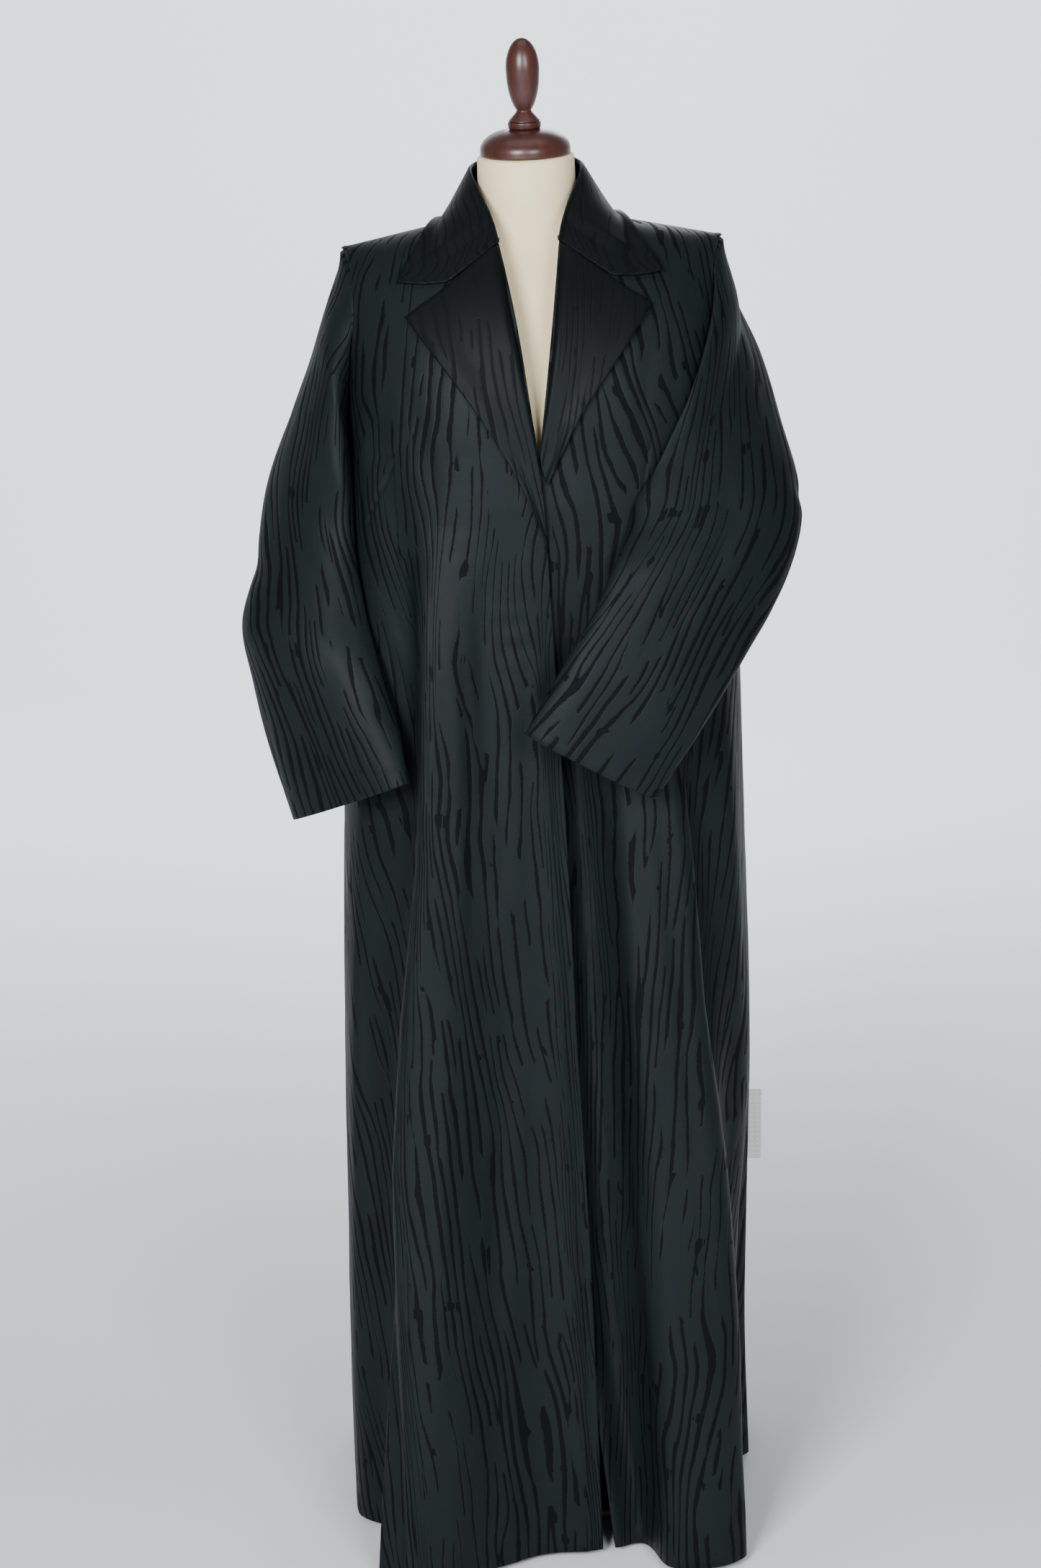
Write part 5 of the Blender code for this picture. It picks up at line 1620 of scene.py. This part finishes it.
@dataclass(frozen=True)
class Stand:
    """The pole and its turned base."""

    base_radius: float = 0.150
    base_height: float = 0.034
    pole_radius: float = 0.016
    pole_top: float = 0.6997

    def turned(self) -> list[TurnedPiece]:
        """The base and the pole."""
        radius, height = self.base_radius, self.base_height
        base = (corner(0.0, height), corner(0.0300, height), Arc(0.0380, height, 0.0080, 0.0080, 210, 270, 3),
                Arc(0.0620, height - 0.0160, 0.0700, 0.0080, 90, 0, 6),
                Arc(radius - 0.0180, 0.0090, 0.0180, 0.0090, 70, 0, 4), corner(radius, 0.0030),
                corner(radius - 0.0030, 0.0), corner(0.0, 0.0))
        length = self.pole_top - height - 0.0003
        pole = (corner(0.0, length), corner(self.pole_radius, length), corner(self.pole_radius, 0.0),
                corner(0.0, 0.0))
        return [TurnedPiece("form_base", base), TurnedPiece("form_pole", pole, height + 0.0003)]


@dataclass(frozen=True)
class Studio:
    """Pale floor that sweeps up into a wall, soft light and the camera."""

    wall_y: float = 8.0
    sweep: float = 3.0
    half_width: float = 16.0
    near_y: float = -14.0
    wall_top: float = 9.0
    camera_height: float = 1.490
    camera_distance: float = 3.066
    lens_mm: float = 65.0
    pitch: float = 12.4
    roll: float = 2.2
    aim_left_px: float = 39.5
    image_height_px: float = 2176.0

    def backdrop(self, look: Material) -> Object:
        """Makes the floor and wall as one sweep."""
        angles = np.radians(np.linspace(0.0, 90.0, 24))
        line = [(self.near_y, 0.0)]
        line += [(self.wall_y - self.sweep + self.sweep * math.sin(a), self.sweep * (1 - math.cos(a)))
                 for a in angles]
        line += [(self.wall_y, self.wall_top)]
        points = np.array([(x, y, z) for y, z in line for x in (-self.half_width, self.half_width)])
        faces = [(2 * k, 2 * k + 1, 2 * k + 3, 2 * k + 2) for k in range(len(line) - 1)]
        piece = link_mesh("studio_sweep", points, faces, look)
        return piece

    def light(self, name: str, place: tuple[float, float, float], aim: tuple[float, float, float],
              size: tuple[float, float], watts: float, colour: str) -> None:
        """Adds one softbox.

        Args:
            name: The light's name.
            place: Where it stands.
            aim: The point that it faces.
            size: Its width and height.
            watts: Its power.
            colour: sRGB hex colour.
        """
        data = bpy.data.lights.new(name, "AREA")
        data.shape = "RECTANGLE"
        data.size, data.size_y = size
        data.energy = watts
        data.color = linear(colour)[:3]
        made = bpy.data.objects.new(name, data)
        made.location = place
        made.visible_camera = False
        made.rotation_euler = (Vector(aim) - Vector(place)).to_track_quat("-Z", "Y").to_euler()
        bpy.context.scene.collection.objects.link(made)

    def lights(self) -> None:
        """Adds the softboxes and the room's own light."""
        self.light("softbox_left", (-1.15, -3.15, 2.0), (0.0, 0.0, 1.2), (1.0, 1.2), 158.0, "fbfaff")
        self.light("softbox_right", (1.10, -3.15, 1.9), (0.0, 0.0, 1.2), (1.0, 1.2), 72.0, "f7f9ff")
        self.light("overhead", (0.0, -0.4, 3.6), (0.0, 0.0, 1.0), (2.2, 1.6), 12.0, "ffffff")
        self.light("rear_fill", (0.5, 3.4, 2.8), (0.0, 0.0, 1.0), (1.4, 1.2), 26.0, "ffffff")
        self.light("wall_wash", (0.0, 2.6, 4.6), (0.0, 8.0, 1.6), (8.0, 1.6), 830.0, "f1f6fb")
        world = bpy.data.worlds.new("studio_room")
        world.use_nodes = True
        feed(world.node_tree, world.node_tree.nodes["Background"],
             {"Color": linear("e6ebf0"), "Strength": 0.22})
        bpy.context.scene.world = world

    def camera(self) -> None:
        """Adds the camera at the photograph's height, distance and tilt."""
        focal = self.lens_mm / FULL_FRAME_MM * self.image_height_px
        yaw = -math.atan(self.aim_left_px / focal)
        pitch, roll = math.radians(self.pitch), math.radians(self.roll)
        ahead = Vector((math.sin(yaw), math.cos(yaw), 0.0))
        forward = ahead * math.cos(pitch) - Vector((0.0, 0.0, math.sin(pitch)))
        level = Vector((math.cos(yaw), -math.sin(yaw), 0.0))
        above = level.cross(forward)
        right = level * math.cos(roll) - above * math.sin(roll)
        up = above * math.cos(roll) + level * math.sin(roll)
        data = bpy.data.cameras.new("studio_camera")
        data.lens = self.lens_mm
        data.sensor_width = FULL_FRAME_MM
        data.clip_end = 60.0
        made = bpy.data.objects.new("studio_camera", data)
        turn = Matrix((right, up, -forward)).transposed().to_4x4()
        turn.translation = (0.0, -self.camera_distance, self.camera_height)
        made.matrix_world = turn
        bpy.context.scene.collection.objects.link(made)
        bpy.context.scene.camera = made


RIGHT_SLEEVE_CREASES = rows(
    Crease,
    ((0.3, 0.1), (0.34, 0.24), (0.3, 0.4), 0.05, -0.002),
    ((0.18, 0.52), (0.3, 0.58), (0.42, 0.54), 0.04, -0.0026),
    ((0.16, 0.62), (0.28, 0.64), (0.38, 0.7), 0.036, 0.0022),
    ((0.62, 0.5), (0.7, 0.58), (0.84, 0.56), 0.04, -0.003),
    ((0.6, 0.66), (0.72, 0.7), (0.86, 0.64), 0.036, 0.0026))
LEFT_SLEEVE_CREASES = rows(
    Crease,
    ((0.28, 0.1), (0.34, 0.22), (0.3, 0.36), 0.05, -0.002),
    ((0.36, 0.46), (0.44, 0.52), (0.56, 0.5), 0.036, -0.0026),
    ((0.2, 0.5), (0.26, 0.6), (0.22, 0.76), 0.04, -0.0022),
    ((0.62, 0.44), (0.72, 0.52), (0.86, 0.5), 0.04, -0.003),
    ((0.64, 0.6), (0.76, 0.62), (0.88, 0.56), 0.036, 0.0026))


def build_cloak(garment: Garment) -> None:
    """Builds every piece of cloth."""
    satin = BarkJacquard().build()
    tape = WovenTape().build()
    pieces = (
        Panel("front_right", Facing.FRONT, Edge.UPPER, Cut(0.46, 1.46, 0.54), 200, 11, garment, 0.11),
        Panel("front_left", Facing.FRONT, Edge.LOWER, Cut(0.42, 1.46, 0.50), 190, 12, garment, -0.05),
        Panel("back", Facing.BACK, None, Cut(0.74, 1.46, 0.91), 236, 13, garment),
        Lapel("lapel_right", Hand.RIGHT, Edge.UPPER, UPPER_LAPEL_EDGE, Cut(0.13, 0.31, 0.017), garment),
        Lapel("lapel_left", Hand.LEFT, Edge.LOWER, UNDER_LAPEL_EDGE, Cut(0.12, 0.25, 0.013), garment),
    )
    for piece in pieces:
        piece.build(satin)
    Collar(garment, Cut(0.50, 0.15, 0.063)).build(satin)
    Sleeve("sleeve_right", Hand.RIGHT, SLEEVE_ROWS_RIGHT, RIGHT_SLEEVE_CREASES, Cut(0.40, 0.62, 0.19),
           21, garment).build(satin)
    Sleeve("sleeve_left", Hand.LEFT, SLEEVE_ROWS_LEFT, LEFT_SLEEVE_CREASES, Cut(0.40, 0.62, 0.20),
           22, garment).build(satin)
    SideLabel(Cut(0.015, 0.082, 0.00123)).build(tape)


def main() -> None:
    """Builds the cloak, the dress form, its stand and the studio."""
    logging.basicConfig(level=logging.INFO, format="%(message)s")
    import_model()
    build_cloak(Garment())
    form = DressForm()
    form.torso(StretchJersey().build())
    wood = VarnishedBeech().build()
    for piece in form.turned() + Stand().turned():
        piece.build(wood)
    studio = Studio()
    studio.backdrop(PaintedStudio().build())
    studio.lights()
    studio.camera()
    bpy.context.view_layer.update()


if __name__ == "__main__":
    main()
